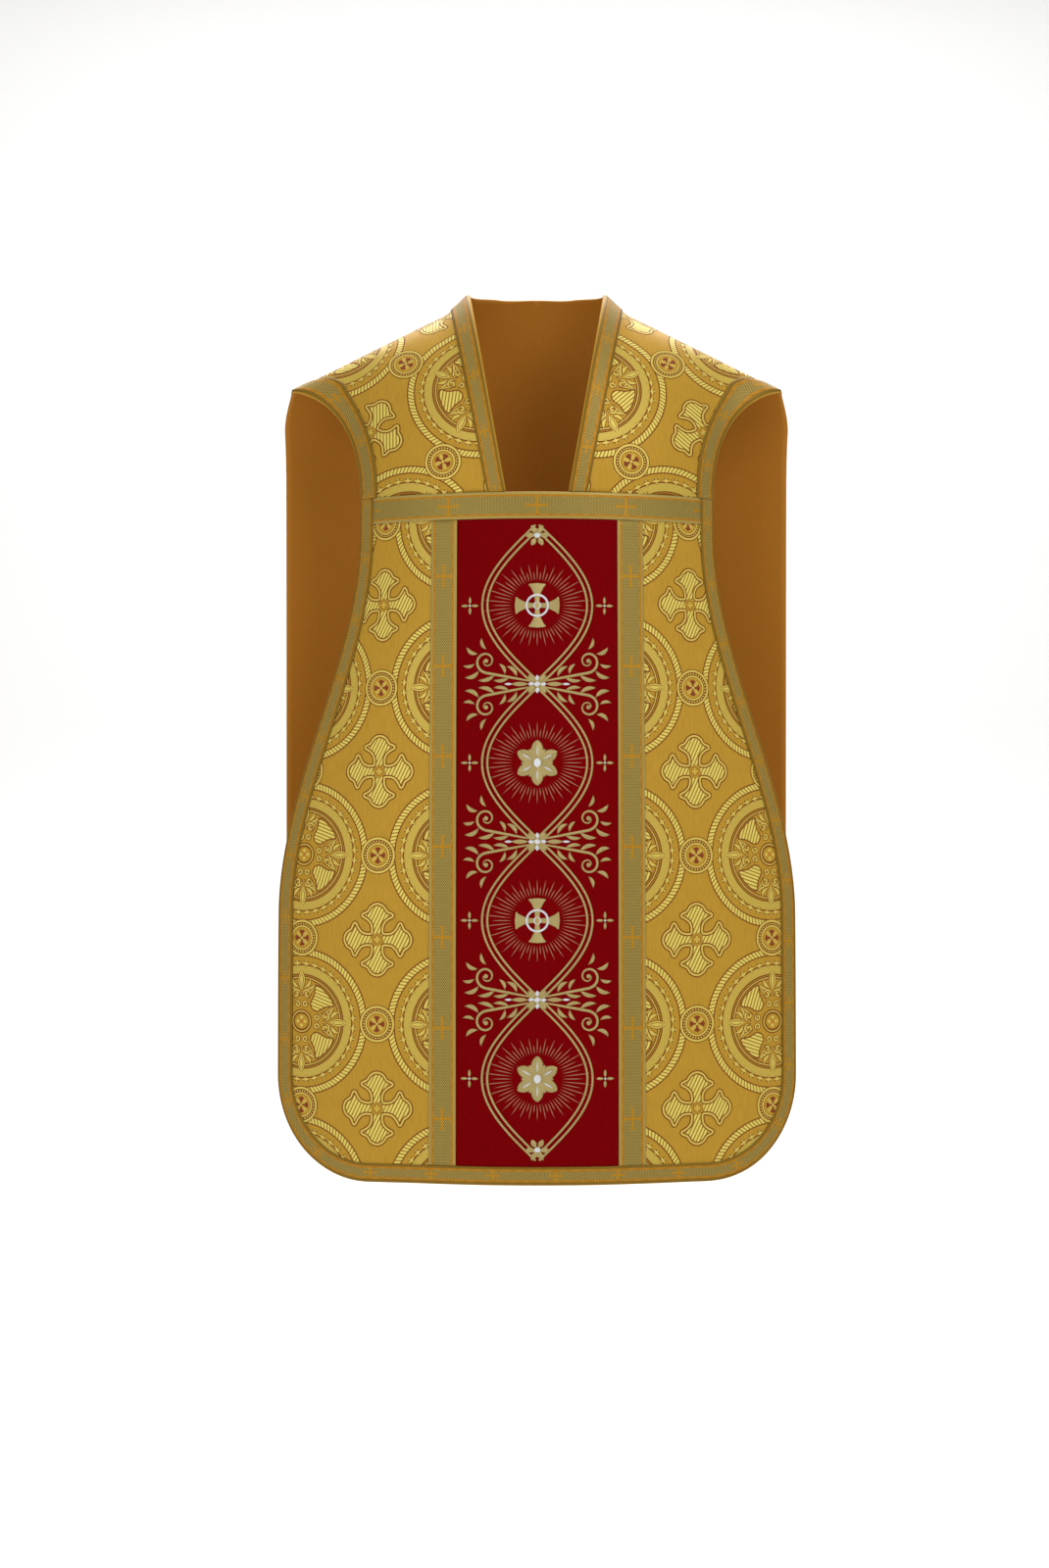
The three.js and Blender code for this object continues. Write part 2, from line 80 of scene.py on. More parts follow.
camera_data = bpy.data.cameras.new("studio_camera")
camera_data.sensor_width = SENSOR
camera_data.lens = SENSOR / 2 / CAMERA_HALF_VIEW
camera = bpy.data.objects.new("studio_camera", camera_data)
camera.location = CAMERA_PLACE
camera.rotation_euler = (np.pi / 2, 0, 0)
bpy.context.scene.collection.objects.link(camera)
bpy.context.scene.camera = camera
print("lens", round(camera_data.lens, 1), "mm")


# %% A helper that puts arrays into a mesh
def put_mesh(name, points, faces, materials, face_slots=None, uv=None):
    """Makes an object from points (n, 3) in metres and faces (m, 4), where a last corner of -1
    marks a triangle. face_slots gives each face's material and uv each point's pair."""
    mesh = bpy.data.meshes.new(name)
    used = faces >= 0
    corners = faces[used]
    counts = used.sum(axis=1)
    starts = np.concatenate([[0], np.cumsum(counts)[:-1]])
    mesh.vertices.add(len(points))
    mesh.vertices.foreach_set("co", np.asarray(points, np.float32).ravel())
    mesh.loops.add(len(corners))
    mesh.loops.foreach_set("vertex_index", corners.astype(np.int32))
    mesh.polygons.add(len(faces))
    mesh.polygons.foreach_set("loop_start", starts.astype(np.int32))
    if face_slots is not None:
        mesh.polygons.foreach_set("material_index", np.asarray(face_slots, np.int32))
    mesh.polygons.foreach_set("use_smooth", np.full(len(faces), True))
    if uv is not None:
        layer = mesh.uv_layers.new(name="threads")
        layer.data.foreach_set("uv", np.asarray(uv, np.float32)[corners].ravel())
    mesh.update(calc_edges=True)
    mesh.validate()
    for material in materials:
        mesh.materials.append(material)
    piece = bpy.data.objects.new(name, mesh)
    bpy.context.scene.collection.objects.link(piece)
    print(f"{name}: {int((counts - 2).sum())} triangles")
    return piece


def grid_faces(rows, columns, closed=False):
    """The four-cornered faces of a grid of points stored row by row. If closed, the last row is
    joined to the first."""
    j, i = np.meshgrid(np.arange(rows if closed else rows - 1), np.arange(columns - 1), indexing="ij")
    after = (j + 1) % rows
    corners = [j * columns + i, j * columns + i + 1, after * columns + i + 1, after * columns + i]
    return np.stack(corners, axis=-1).reshape(-1, 4)


# %% The floor that curves up into a wall
FLOOR_Z = -1.62
WALL_Y = 4.8
BEND_RADIUS = 1.2
SET_HALF_WIDTH = 6.0
SET_FRONT_Y = -6.0
SET_TOP_Z = 5.0


def pale_paper():
    """A plain, almost white, matt surface."""
    material = bpy.data.materials.new("pale_paper")
    material.use_nodes = True
    shader = material.node_tree.nodes["Principled BSDF"]
    shader.inputs["Base Color"].default_value = (0.9, 0.9, 0.9, 1)
    shader.inputs["Roughness"].default_value = 0.9
    shader.inputs["Specular IOR Level"].default_value = 0.1
    return material


def studio_sweep():
    """A profile of floor, quarter circle and wall, carried sideways."""
    turn = np.linspace(0, np.pi / 2, 24)
    bend_y = WALL_Y - BEND_RADIUS + BEND_RADIUS * np.sin(turn)
    bend_z = FLOOR_Z + BEND_RADIUS * (1 - np.cos(turn))
    y = np.concatenate([[SET_FRONT_Y], bend_y, [WALL_Y]])
    z = np.concatenate([[FLOOR_Z], bend_z, [SET_TOP_Z]])
    x = np.array([-SET_HALF_WIDTH, SET_HALF_WIDTH])
    points = np.stack([np.broadcast_to(x, (len(y), 2)), *(np.repeat(k[:, None], 2, 1) for k in (y, z))], -1)
    return put_mesh("studio_floor", points.reshape(-1, 3), grid_faces(len(y), 2), [pale_paper()])


studio_sweep()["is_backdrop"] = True

# %% The lights
LIGHTS = {                      # name: place, size and power of each soft light
    "key_light": ((1.7, -2.6, 1.5), 1.8, 44),
    "fill_light": ((-2.0, -2.9, 0.4), 2.2, 26),
    "top_light": ((0.2, -0.6, 2.2), 2.0, 9),
    "wall_light": ((0.0, 2.2, 3.6), 4.0, 275),
}
LIGHT_AIM = np.array([0, 0, -0.5])


def soft_light(name, place, size, power):
    """A square area light that faces the garment's middle."""
    data = bpy.data.lights.new(name, "AREA")
    data.size = size
    data.energy = power
    light = bpy.data.objects.new(name, data)
    light.location = place
    x, y, z = LIGHT_AIM - place
    light.rotation_euler = (np.arctan2(np.hypot(x, y), -z), 0, np.arctan2(-x, y))
    bpy.context.scene.collection.objects.link(light)
    return light


for light_name, (place, size, power) in LIGHTS.items():
    soft_light(light_name, np.array(place), size, power)

WORLD_COLOUR = (1.0, 0.99, 0.97, 1)
WORLD_STRENGTH = 0.5
world = bpy.data.worlds.new("studio_world")
world.use_nodes = True
world.node_tree.nodes["Background"].inputs["Color"].default_value = WORLD_COLOUR
world.node_tree.nodes["Background"].inputs["Strength"].default_value = WORLD_STRENGTH
bpy.context.scene.world = world
bpy.context.scene.view_settings.view_transform = "Standard"
print("lights:", len(LIGHTS))

# %% [markdown]
# ## The sheets that the cloth follows
#
# Stiffened damask bends like card: it rolls round one direction and hardly stretches. So the
# front is made of arcs, close round the chest and flatter at the hem, and the shoulders are
# quarter ellipses that rise to a sloping ridge. A drape simulation was the other way, but it
# would let the cloth crumple, which this one doesn't. Each sheet is a function from two numbers
# to a place, so that braid and embroidery can be laid on it exactly.

# %% Sizes of the sheets, in millimetres
CHEST_SEAM_Z = -258
FRONT_LENGTH = 818
BLADE_Z = -230
BACK_LENGTH = 870
FRONT_TOP_HALF = 214.5
FRONT_HEM_HALF = 313
FLARE_START, FLARE_RUN = 42, 460
CORNER_RADIUS = 122
BACK_HALF = 327
CHEST_BOW, HEM_BOW = 150, 172
CHEST_RADIUS, HEM_RADIUS, FRONT_EASE = 320, 640, 600
BLADE_BOW, BACK_HEM_BOW = 140, 160
BLADE_RADIUS, BACK_HEM_RADIUS = 800, 900
RIDGE_REFERENCE, RIDGE_DROP, RIDGE_SLOPE, RIDGE_ROUND = 120, 27, 0.5, 45
NECK_STAND, STAND_FOOT, STAND_RUN = 26, 120, 72
TIP_HALF, TIP_POWER, TIP_EASE, WING_RUN = 305, 2.2, 50, 60
NECK_FOOT_HALF, NECK_SIDE_HALF, NECK_BELLY = 37, 84, 0.15
NAPE_ANGLE, NAPE_RISE, NAPE_WIDTH = 37, 28, 75

# Each fold: its place across, how far it reaches, how far it stands out, where it starts and
# where it is full, both measured down. The first ones are the large folds of the frame, and
# the narrow ones are the small unevenness of real cloth.
FRONT_FOLDS = np.array([
    (-232, 74, 4.5, 240, 760), (-150, 62, -3.5, 330, 800), (168, 66, -4.0, 260, 790),
    (250, 70, 4.0, 300, 780), (-205, 30, 0.9, 120, 420), (-268, 26, -1.1, 420, 700),
    (143, 24, 0.8, 60, 300), (212, 27, -1.0, 200, 520), (281, 24, 0.9, 380, 690),
])
BACK_FOLDS = np.array([
    (-238, 70, 6.0, 60, 560), (-132, 76, -6.5, 110, 640), (-20, 80, 5.0, 180, 700),
    (112, 72, -6.0, 90, 590), (226, 78, 6.5, 140, 660), (-184, 28, 1.2, 90, 380),
    (58, 30, -1.3, 160, 520), (170, 26, 1.1, 60, 330), (-76, 27, 1.0, 240, 650),
    (282, 24, -1.0, 200, 600),
])


def mix(a, b, t):
    """Straight from a to b while t goes from 0 to 1."""
    return a + (b - a) * t


def ease(t):
    """Rises smoothly from 0 to 1 while t goes from 0 to 1."""
    t = np.clip(t, 0, 1)
    return t * t * (3 - 2 * t)


def fold_rise(folds, across, down):
    """Sum of bells across the cloth, each of which grows smoothly on the way down."""
    across, down = np.broadcast_arrays(across, down)
    place, width, rise, start, full = folds.T.reshape(5, -1, *[1] * across.ndim)
    bells = rise * np.exp(-(((across - place) / width) ** 2))
    return (bells * ease((down - start) / (full - start))).sum(axis=0)


# %% The front sheet and the back sheet
def front_sheet(across, down):
    """An arc across at each depth, whose radius and bow grow towards the hem, plus the folds."""
    across, down = np.broadcast_arrays(across, down)
    radius = mix(CHEST_RADIUS, HEM_RADIUS, ease(down / FRONT_EASE))
    bow = mix(CHEST_BOW, HEM_BOW, down / FRONT_LENGTH) + fold_rise(FRONT_FOLDS, across, down)
    turn = across / radius
    return np.stack([radius * np.sin(turn), radius * (1 - np.cos(turn)) - bow, CHEST_SEAM_Z - down], -1)


def back_sheet(across, down):
    """The same for the back, nearly flat and bowed the other way."""
    across, down = np.broadcast_arrays(across, down)
    radius = mix(BLADE_RADIUS, BACK_HEM_RADIUS, ease(down / BACK_LENGTH))
    bow = mix(BLADE_BOW, BACK_HEM_BOW, down / BACK_LENGTH) + fold_rise(BACK_FOLDS, across, down)
    turn = across / radius
    return np.stack([radius * np.sin(turn), bow - radius * (1 - np.cos(turn)), BLADE_Z - down], -1)


# %% The shoulder arch
def arc_depth(radius, x):
    """How far an arc has fallen back at a straight distance x from its middle."""
    return radius - np.sqrt(radius**2 - x**2)


def ridge_height(x):
    """A roof with a rounded top, with the cloth's stand beside the neck added."""
    out = np.hypot(x, RIDGE_ROUND) - np.hypot(RIDGE_REFERENCE, RIDGE_ROUND)
    return -RIDGE_DROP - RIDGE_SLOPE * out + NECK_STAND * ease((STAND_FOOT - abs(x)) / STAND_RUN)


def front_reach(x):
    """The chest's arc, which beyond the chest runs out in a parabola."""
    inside = np.minimum(abs(x), FRONT_TOP_HALF)
    past = np.clip(abs(x) - FRONT_TOP_HALF, 0, WING_RUN)
    slope = FRONT_TOP_HALF / np.sqrt(CHEST_RADIUS**2 - FRONT_TOP_HALF**2)
    return CHEST_BOW - arc_depth(CHEST_RADIUS, inside) - slope * (past - past**2 / (2 * WING_RUN))


def shoulder_arch(x, angle):
    """Quarter ellipses over the shoulder: angle is -90 at the chest seam, 0 on the ridge and 90 at
    the shoulder blades. Behind the neck the cloth stands up in a bell."""
    x, angle = np.broadcast_arrays(x, angle)
    turn = np.radians(angle)
    is_front = angle < 0
    reach = np.where(is_front, front_reach(x), BLADE_BOW - arc_depth(BLADE_RADIUS, x))
    foot = np.where(is_front, CHEST_SEAM_Z, BLADE_Z)
    nape = np.where(is_front, 0, NAPE_RISE * np.exp(-((x / NAPE_WIDTH) ** 2)) * np.sin(2 * turn))
    height = mix(foot, ridge_height(x), np.cos(turn)) + nape
    return np.stack([x, reach * np.sin(turn), height], -1)


SLOPE_STEP = 0.05


def slopes(sheet, a, b):
    """How fast the place on a sheet moves with a and with b, from two places close together."""
    along_a = sheet(a + SLOPE_STEP, b) - sheet(a - SLOPE_STEP, b)
    along_b = sheet(a, b + SLOPE_STEP) - sheet(a, b - SLOPE_STEP)
    return along_a / (2 * SLOPE_STEP), along_b / (2 * SLOPE_STEP)


def lay_on(sheet, a, b, lift, outward=1):
    """The place on a sheet, moved along its normal, the cross product of its two slopes."""
    normal = np.cross(*slopes(sheet, a, b))
    normal *= outward / np.linalg.norm(normal, axis=-1, keepdims=True)
    return sheet(a, b) + np.asarray(lift)[..., None] * normal


print("front panel from", front_sheet(0.0, 0.0).round(0), "to", front_sheet(0.0, FRONT_LENGTH).round(0))


# %% [markdown]
# ## The outline of each panel
#
# The front keeps its narrow chest, then flares like a fiddle, and its bottom corners are quarter
# circles. The straps run from the V of the neck to the armhole. A pattern cutter draws these
# edges first, and here each edge is a half width as a function of the height.

# %% Half widths along the cloth
def front_half(down):
    """Half width of the front on the cloth: an eased flare, turned from straight to curved, with
    the quarter circle of the corner below it."""
    flat = mix(FRONT_TOP_HALF, FRONT_HEM_HALF, ease((down - FLARE_START) / FLARE_RUN))
    radius = mix(CHEST_RADIUS, HEM_RADIUS, ease(down / FRONT_EASE))
    return rounded_corner(radius * np.arcsin(flat / radius), down, FRONT_LENGTH)


def rounded_corner(half, down, length):
    """Takes the quarter circle of the corner off a half width."""
    past = np.clip(down - (length - CORNER_RADIUS), 0, CORNER_RADIUS)
    return half - CORNER_RADIUS + np.sqrt(CORNER_RADIUS**2 - past**2)


def back_half(down):
    """Half width of the back: constant, with the corner below it."""
    return rounded_corner(BACK_HALF, down, BACK_LENGTH)


def neck_half(angle):
    """Half width of the neck opening: the V in front, and a quarter ellipse round the nape."""
    c = np.cos(np.radians(angle))
    front = mix(NECK_FOOT_HALF, NECK_SIDE_HALF, (1 + NECK_BELLY) * c - NECK_BELLY * c * c)
    nape = NECK_SIDE_HALF * np.sqrt(np.clip(1 - (angle / NAPE_ANGLE) ** 2, 0, 1))
    return np.where(angle <= 0, front, nape)


BACK_HALF_ACROSS = BLADE_RADIUS * np.sin(BACK_HALF / BLADE_RADIUS)


def arm_half(angle):
    """Half width at the armhole: it runs in from the shoulder's tip as a power of the cosine, and
    behind the ridge it eases into the side of the back."""
    c = np.clip(np.cos(np.radians(angle)), 0, 1)
    front = mix(FRONT_TOP_HALF, TIP_HALF, c**TIP_POWER)
    back = mix(TIP_HALF, BACK_HALF_ACROSS, ease(angle / TIP_EASE))
    return np.where(angle < 0, front, back)


print("front: top", round(2 * float(front_half(0.0))), "widest", round(2 * float(front_half(600.0))), "mm")

# %% [markdown]
# ## Numbers inside a shader
#
# The threads of the cloth are much finer than any mesh, so the shader draws them: for each point
# it works out a number from the two thread coordinates. Writing that as ordinary sums keeps it
# readable, so this small class turns sums into shader nodes.

# %% Sums that become shader nodes
def new_node(tree, kind, inputs, **settings):
    """A shader node. A socket among its inputs is linked, and anything else is a plain value."""
    node = tree.nodes.new("ShaderNode" + kind)
    for name, value in settings.items():
        setattr(node, name, value)
    for entry, value in inputs.items():
        if isinstance(value, bpy.types.NodeSocket):
            tree.links.new(value, node.inputs[entry])
        else:
            node.inputs[entry].default_value = value
    return node


class Shade:
    """A number that the shader works out anew at each point."""

    def __init__(self, tree, socket):
        self.tree, self.socket = tree, socket

    def math(self, operation, *others):
        values = [k.socket if isinstance(k, Shade) else k for k in (self, *others)]
        node = new_node(self.tree, "Math", dict(enumerate(values)), operation=operation)
        return Shade(self.tree, node.outputs[0])

    def __add__(self, other):
        return self.math("ADD", other)

    def __sub__(self, other):
        return self.math("SUBTRACT", other)

    def __mul__(self, other):
        return self.math("MULTIPLY", other)

    def wave(self, length):
        """A sine from -1 to 1 that repeats after a length in metres."""
        return (self * (2 * np.pi / length)).math("SINE")

    def nearest(self, length):
        """Distance to the nearest multiple of a length."""
        past = (self + length / 2).math("FLOORED_MODULO", length)
        return (past - length / 2).math("ABSOLUTE")

    def below(self, limit, softness):
        """1 below the limit and 0 above it, with a soft edge."""
        span = {"From Min": limit - softness, "From Max": limit + softness, "To Min": 1, "To Max": 0}
        inputs = {"Value": self.socket, **span}
        node = new_node(self.tree, "MapRange", inputs, interpolation_type="SMOOTHSTEP")
        return Shade(self.tree, node.outputs["Result"])


# %% A cloth material
THREAD_NOISE = (900, 60, 1)     # spots in a metre: narrow across the threads and long down them


def colour(code):
    """A colour written as red, green and blue from 0 to 255, made linear."""
    part = np.array([int(code[k:k + 2], 16) for k in (0, 2, 4)]) / 255
    linear = np.where(part <= 0.04045, part / 12.92, ((part + 0.055) / 1.055) ** 2.4)
    return (*linear, 1)


def cloth_material(name, base, roughness, metallic=0.0, sheen=0.0, pattern=None, relief=0.0, specular=0.4):
    """base is a colour code. pattern is a function of the two thread coordinates, in metres, and a
    soft noise. It gives (colour code, amount) pairs, which are laid over the base one after the
    other, and the height of the threads from 0 to 1, which is relief metres high."""
    material = bpy.data.materials.new(name)
    material.use_nodes = True
    tree = material.node_tree
    shader = tree.nodes["Principled BSDF"]
    settings = {
        "Base Color": colour(base), "Roughness": roughness, "Metallic": metallic,
        "Specular IOR Level": specular, "Sheen Weight": sheen, "Sheen Tint": colour(base),
    }
    for socket, value in settings.items():
        shader.inputs[socket].default_value = value
    if pattern is None:
        return material
    threads = new_node(tree, "UVMap", {}, uv_map="threads").outputs["UV"]
    u, v = (Shade(tree, k) for k in new_node(tree, "SeparateXYZ", {0: threads}).outputs[:2])
    stretched = new_node(tree, "Mapping", {"Vector": threads, "Scale": THREAD_NOISE}).outputs["Vector"]
    spots = {"Vector": stretched, "Scale": 1, "Detail": 2}
    noise = new_node(tree, "TexNoise", spots, noise_dimensions="2D").outputs["Fac"]
    layers, height = pattern(u, v, Shade(tree, noise))
    below = colour(base)
    for code, amount in layers:
        inputs = {"Factor": amount.socket, "A": below, "B": colour(code)}
        below = new_node(tree, "Mix", inputs, data_type="RGBA").outputs["Result"]
    tree.links.new(below, shader.inputs["Base Color"])
    if height is not None:
        bump = new_node(tree, "Bump", {"Height": height.socket, "Distance": relief, "Strength": 0.6})
        tree.links.new(bump.outputs["Normal"], shader.inputs["Normal"])
    return material


# %% [markdown]
# ## The threads
#
# Damask shows its pattern by turning the weave: the ground is a satin of ochre threads, and the
# figure turns a paler, shinier gold to the front. Between them the weaver puts a brown outline one
# or two threads wide. Some of the figure is hatched, where the paler thread is bound down along
# slanting lines.

# %% The damask's materials
GROUND, OUTLINE, LIGHT, HATCHED, ACCENT, BAND, RUSSET = range(7)
HATCH_PITCH, HATCH_GAP, THREAD_PITCH = 4.5 * MM, 0.85 * MM, 0.9 * MM


def satin_threads(u, v, noise):
    return [("8f6a1a", noise.below(0.47, 0.2) * 0.3)], noise


def plain_threads(u, v, noise):
    return [("b59a3c", (u + v).nearest(THREAD_PITCH).below(0.13 * MM, 0.1 * MM) * 0.25)], None


def hatched_threads(u, v, noise):
    line = (u - v * 0.5).nearest(HATCH_PITCH).below(HATCH_GAP, 0.3 * MM)
    return [("8a6214", line * 0.9)], line * -1


ground = cloth_material("damask_ground", "b58c2e", 0.5, 0.15, 0.0, satin_threads, 0.1 * MM, 0.1)
outline = cloth_material("damask_outline", "743c06", 0.65, specular=0.2)
light = cloth_material("damask_figure", "cdb653", 0.42, 0.2, 0.0, plain_threads, 0.0, 0.2)
band = cloth_material("damask_band", "bca144", 0.44, 0.2, 0.0, plain_threads, 0.0, 0.2)
hatched = cloth_material("damask_hatched", "d9c660", 0.44, 0.2, 0.0, hatched_threads, 0.25 * MM, 0.2)
accent = cloth_material("damask_accent", "b4601c", 0.55)
russet = cloth_material("damask_russet", "7c3610", 0.65, specular=0.2)
lining = cloth_material("lining", "ad6e1e", 0.65, 0.0, 0.1, satin_threads, 0.05 * MM, 0.15)
DAMASK = [ground, outline, light, hatched, accent, band, russet]
print("damask materials:", [m.name for m in DAMASK])

# %% [markdown]
# ## The panels
#
# A panel is a skin of small cells that follows the sheet, a second skin under it, and a narrow
# wall that joins them along every free edge, so that the cloth is closed like a real thickness
# of cloth and lining. The cells are about six millimetres wide, which is fine enough for the
# round of the shoulder.

# %% Panel makers
FRONT_THICKNESS, BACK_THICKNESS, LINING_THICKNESS, LINING_GAP = 2.2, 1.4, 0.8, 0.3


def closed_shell(outer, inner, faces):
    """Two skins with the same faces, and a wall along each edge that only one face uses."""
    count = len(outer)
    edges = np.concatenate([np.stack([faces[:, k], faces[:, (k + 1) % 4]], -1) for k in range(4)])
    edges = edges[edges[:, 0] != edges[:, 1]]
    keys = edges[:, 0] * count + edges[:, 1]
    a, b = edges[~np.isin(keys, edges[:, 1] * count + edges[:, 0])].T
    wall = np.stack([b, a, a + count, b + count], -1)
    skins = np.concatenate([faces, faces[:, ::-1] + count, wall])
    slots = np.repeat([0, 1, 0], [len(faces), len(faces), len(wall)])
    return np.concatenate([outer, inner]), skins, slots


def shell_piece(name, outer, inner, faces, materials, across, down):
    """A closed wall between two skins in millimetres. across and down are the thread places."""
    points, faces, slots = closed_shell(outer.reshape(-1, 3), inner.reshape(-1, 3), faces)
    threads = np.stack(np.broadcast_arrays(across, down), -1).reshape(-1, 2) * MM
    slots = slots if len(materials) > 1 else None
    return put_mesh(name, points * MM, faces, materials, slots, np.tile(threads, (2, 1)))


def skin_area(points, faces):
    """Area of a skin of four-cornered faces, in square metres."""
    a, b, c, d = np.moveaxis(points[faces], 1, 0)
    return 0.5 * np.linalg.norm(np.cross(c - a, d - b), axis=-1).sum() * MM**2


def finish_piece(piece, slot, *nodes):
    """Puts a piece on the frame, in place of its nodes if it has any."""
    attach(piece, "root")
    if nodes:
        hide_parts(*nodes)
    return piece


def corner_steps(length, straight, corner):
    """Depths down a panel: even steps, then steps that are even round the corner's circle."""
    low = length - CORNER_RADIUS
    turn = np.linspace(0, np.pi / 2, corner + 1)[1:]
    return np.concatenate([np.linspace(0, low, straight), low + CORNER_RADIUS * np.sin(turn)])


# %% The front
FRONT_COLUMNS = 109
share = np.linspace(-1, 1, FRONT_COLUMNS)
front_down = corner_steps(FRONT_LENGTH, 126, 28)[:, None]
front_across = front_half(front_down) * share
outer = lay_on(front_sheet, front_across, front_down, 0.0, -1)
inner = lay_on(front_sheet, front_across, front_down, -FRONT_THICKNESS, -1)
front_faces = grid_faces(len(front_down), FRONT_COLUMNS)[:, ::-1]
sides = [ground, lining]
front_cloth = shell_piece("front_cloth", outer, inner, front_faces, sides, front_across, front_down)
finish_piece(front_cloth, "damask", "front_panel")

# %% [markdown]
# The back and its straps are one piece of cloth with a hole for the neck. Its rows run over the
# shoulders: in front of the nape each row is in two parts, and behind it the two parts meet in
# the middle, where they share their points.

# %% The rows of the back and its straps
HALF_COLUMNS = 48
STRAP_ROWS = 66
STRAP_MIDDLE = 190.0            # the lengths down the back are measured over this line
nape_angles = NAPE_ANGLE * np.sin(np.linspace(0, np.pi / 2, 15)[1:])
blade_angles = np.linspace(NAPE_ANGLE, 90, 28)[1:]
arch_angles = np.concatenate([np.linspace(-90, 0, STRAP_ROWS), nape_angles, blade_angles])
nape_row = STRAP_ROWS + len(nape_angles) - 1
half_share = np.linspace(0, 1, HALF_COLUMNS)
arch_x = mix(neck_half(arch_angles)[:, None], arm_half(arch_angles)[:, None], half_share)
back_down = corner_steps(BACK_LENGTH, 104, 26)[1:, None]
hanging = back_half(back_down) * half_share


def both_sides(sheet, first, second, lift):
    """Points of the left and right halves of rows, from the left edge to the right one."""
    right = lay_on(sheet, first, second, lift)
    left = lay_on(sheet, -first[:, ::-1], second, lift)
    return np.concatenate([left, right], axis=1)


def back_points(lift):
    """The arch's rows and below them the hanging rows, as far from the sheet as lift says."""
    arch = both_sides(shoulder_arch, arch_x, np.broadcast_to(arch_angles[:, None], arch_x.shape), lift)
    hang = both_sides(back_sheet, hanging, np.broadcast_to(back_down, hanging.shape), lift)
    return np.concatenate([arch, hang]).reshape(-1, 3)[used]


# %% The back's faces and thread places
back_rows = len(arch_angles) + len(back_down)
numbers = np.arange(back_rows * 2 * HALF_COLUMNS).reshape(back_rows, -1)
numbers[nape_row:, HALF_COLUMNS] = numbers[nape_row:, HALF_COLUMNS - 1]
corners = [numbers[:-1, :-1], numbers[:-1, 1:], numbers[1:, 1:], numbers[1:, :-1]]
back_faces = np.stack(corners, -1)
back_faces = np.delete(back_faces, HALF_COLUMNS - 1, axis=1).reshape(-1, 4)[:, ::-1]
used, back_faces = np.unique(back_faces, return_inverse=True)
back_faces = back_faces.reshape(-1, 4)

arch_run = np.linalg.norm(np.diff(shoulder_arch(STRAP_MIDDLE, arch_angles), axis=0), axis=-1)
meridian = np.concatenate([[0], np.cumsum(arch_run)]) - arch_run.sum()
thread_down = np.concatenate([meridian, back_down[:, 0]])
thread_across = np.concatenate([arch_x, hanging])
thread_across = np.concatenate([-thread_across[:, ::-1], thread_across], axis=1)
thread_down = np.repeat(thread_down, 2 * HALF_COLUMNS)[used]
thread_across = thread_across.ravel()[used]


# %% The back and its lining
def back_wall(name, top, thickness, materials):
    """A closed wall on the back's sheet, whose upper skin lies at top."""
    skins = back_points(top), back_points(top - thickness)
    return shell_piece(name, *skins, back_faces, materials, thread_across, thread_down)


back_area = skin_area(back_points(0.0), back_faces)
back_cloth = back_wall("back_cloth", 0.0, BACK_THICKNESS, [ground, ground])
finish_piece(back_cloth, "damask", "back_panel")
lining_top = -BACK_THICKNESS - LINING_GAP
lining_cloth = back_wall("lining_cloth", lining_top, LINING_THICKNESS, [lining, lining])
finish_piece(lining_cloth, "lining", "back_lining")
print("flat area of the back:", round(back_area, 3), "square metres")

# %% [markdown]
# ## The braids
#
# All the braids are woven alike: a pale border at each side, a scalloped ochre line inside it, a
# field of fine metal mesh, and small ochre crosses at equal distances. A weaver's draft gives
# them as numbers of threads, and here they are functions of the place along the braid and
# across it. The wide one runs down both sides of the orphrey and across the chest.

# %% The weave of a braid
MESH_LONG, MESH_WIDE = 3.6 * MM, 2.6 * MM       # the two waves of the mesh
SCALLOP_LONG, SCALLOP_DEEP = 4.6 * MM, 0.8 * MM
SCALLOP_IN, BORDER_IN, TURN_IN = 4.3 * MM, 3.1 * MM, 1.7 * MM       # each measured in from the edge


def braid_material(name, base, border_code, width, pitch, arms):
    """A braid with a cross at every pitch. Its mesh is a rib across it plus the product of that
    rib and a finer wave. The scalloped line is where the distance from the middle, plus a wave,
    meets a set distance. width, pitch and arms are in millimetres."""
    edge, soft = width * MM / 2, 0.3 * MM
    arm_long, arm_short, arm_half = np.array(arms) * MM

    def threads(u, v, noise):
        out = v.math("ABSOLUTE")
        rib = u.wave(MESH_LONG)
        mesh = rib * v.wave(MESH_WIDE) * 0.4 + rib * 0.09 + 0.5
        scallop = (u.wave(SCALLOP_LONG) * SCALLOP_DEEP + out - (edge - SCALLOP_IN)).math("ABSOLUTE")
        border = (out * -1).below(BORDER_IN - edge, soft / 2)
        turned = (out - (edge - TURN_IN)).math("ABSOLUTE").below(0.2 * MM, soft / 2)
        step = u.nearest(pitch * MM)
        upright = step.below(arm_long, soft) * out.below(arm_half, soft)
        bar = step.below(arm_half, soft) * out.below(arm_short, soft)
        foot = (step - arm_long).math("ABSOLUTE").below(2.5 * soft, soft) * out.below(2.2 * arm_half, soft)
        hand = (out - arm_short).math("ABSOLUTE").below(2.5 * soft, soft) * step.below(2.2 * arm_half, soft)
        cross = upright.math("MAXIMUM", bar).math("MAXIMUM", foot).math("MAXIMUM", hand)
        field = (border * -1 + 1) * mesh.below(0.45, 0.22)
        layers = [
            ("5c430e", field * 0.85),
            ("ae730a", scallop.below(1.15 * MM, 0.35 * MM)),
            (border_code, border),
            ("7d6220", turned * 0.6),
            ("b27c0e", cross * 0.95),
        ]
        return layers, mesh * (border * -1 + 1)

    return cloth_material(name, base, 0.45, 0.3, 0.0, threads, 0.35 * MM, 0.15)


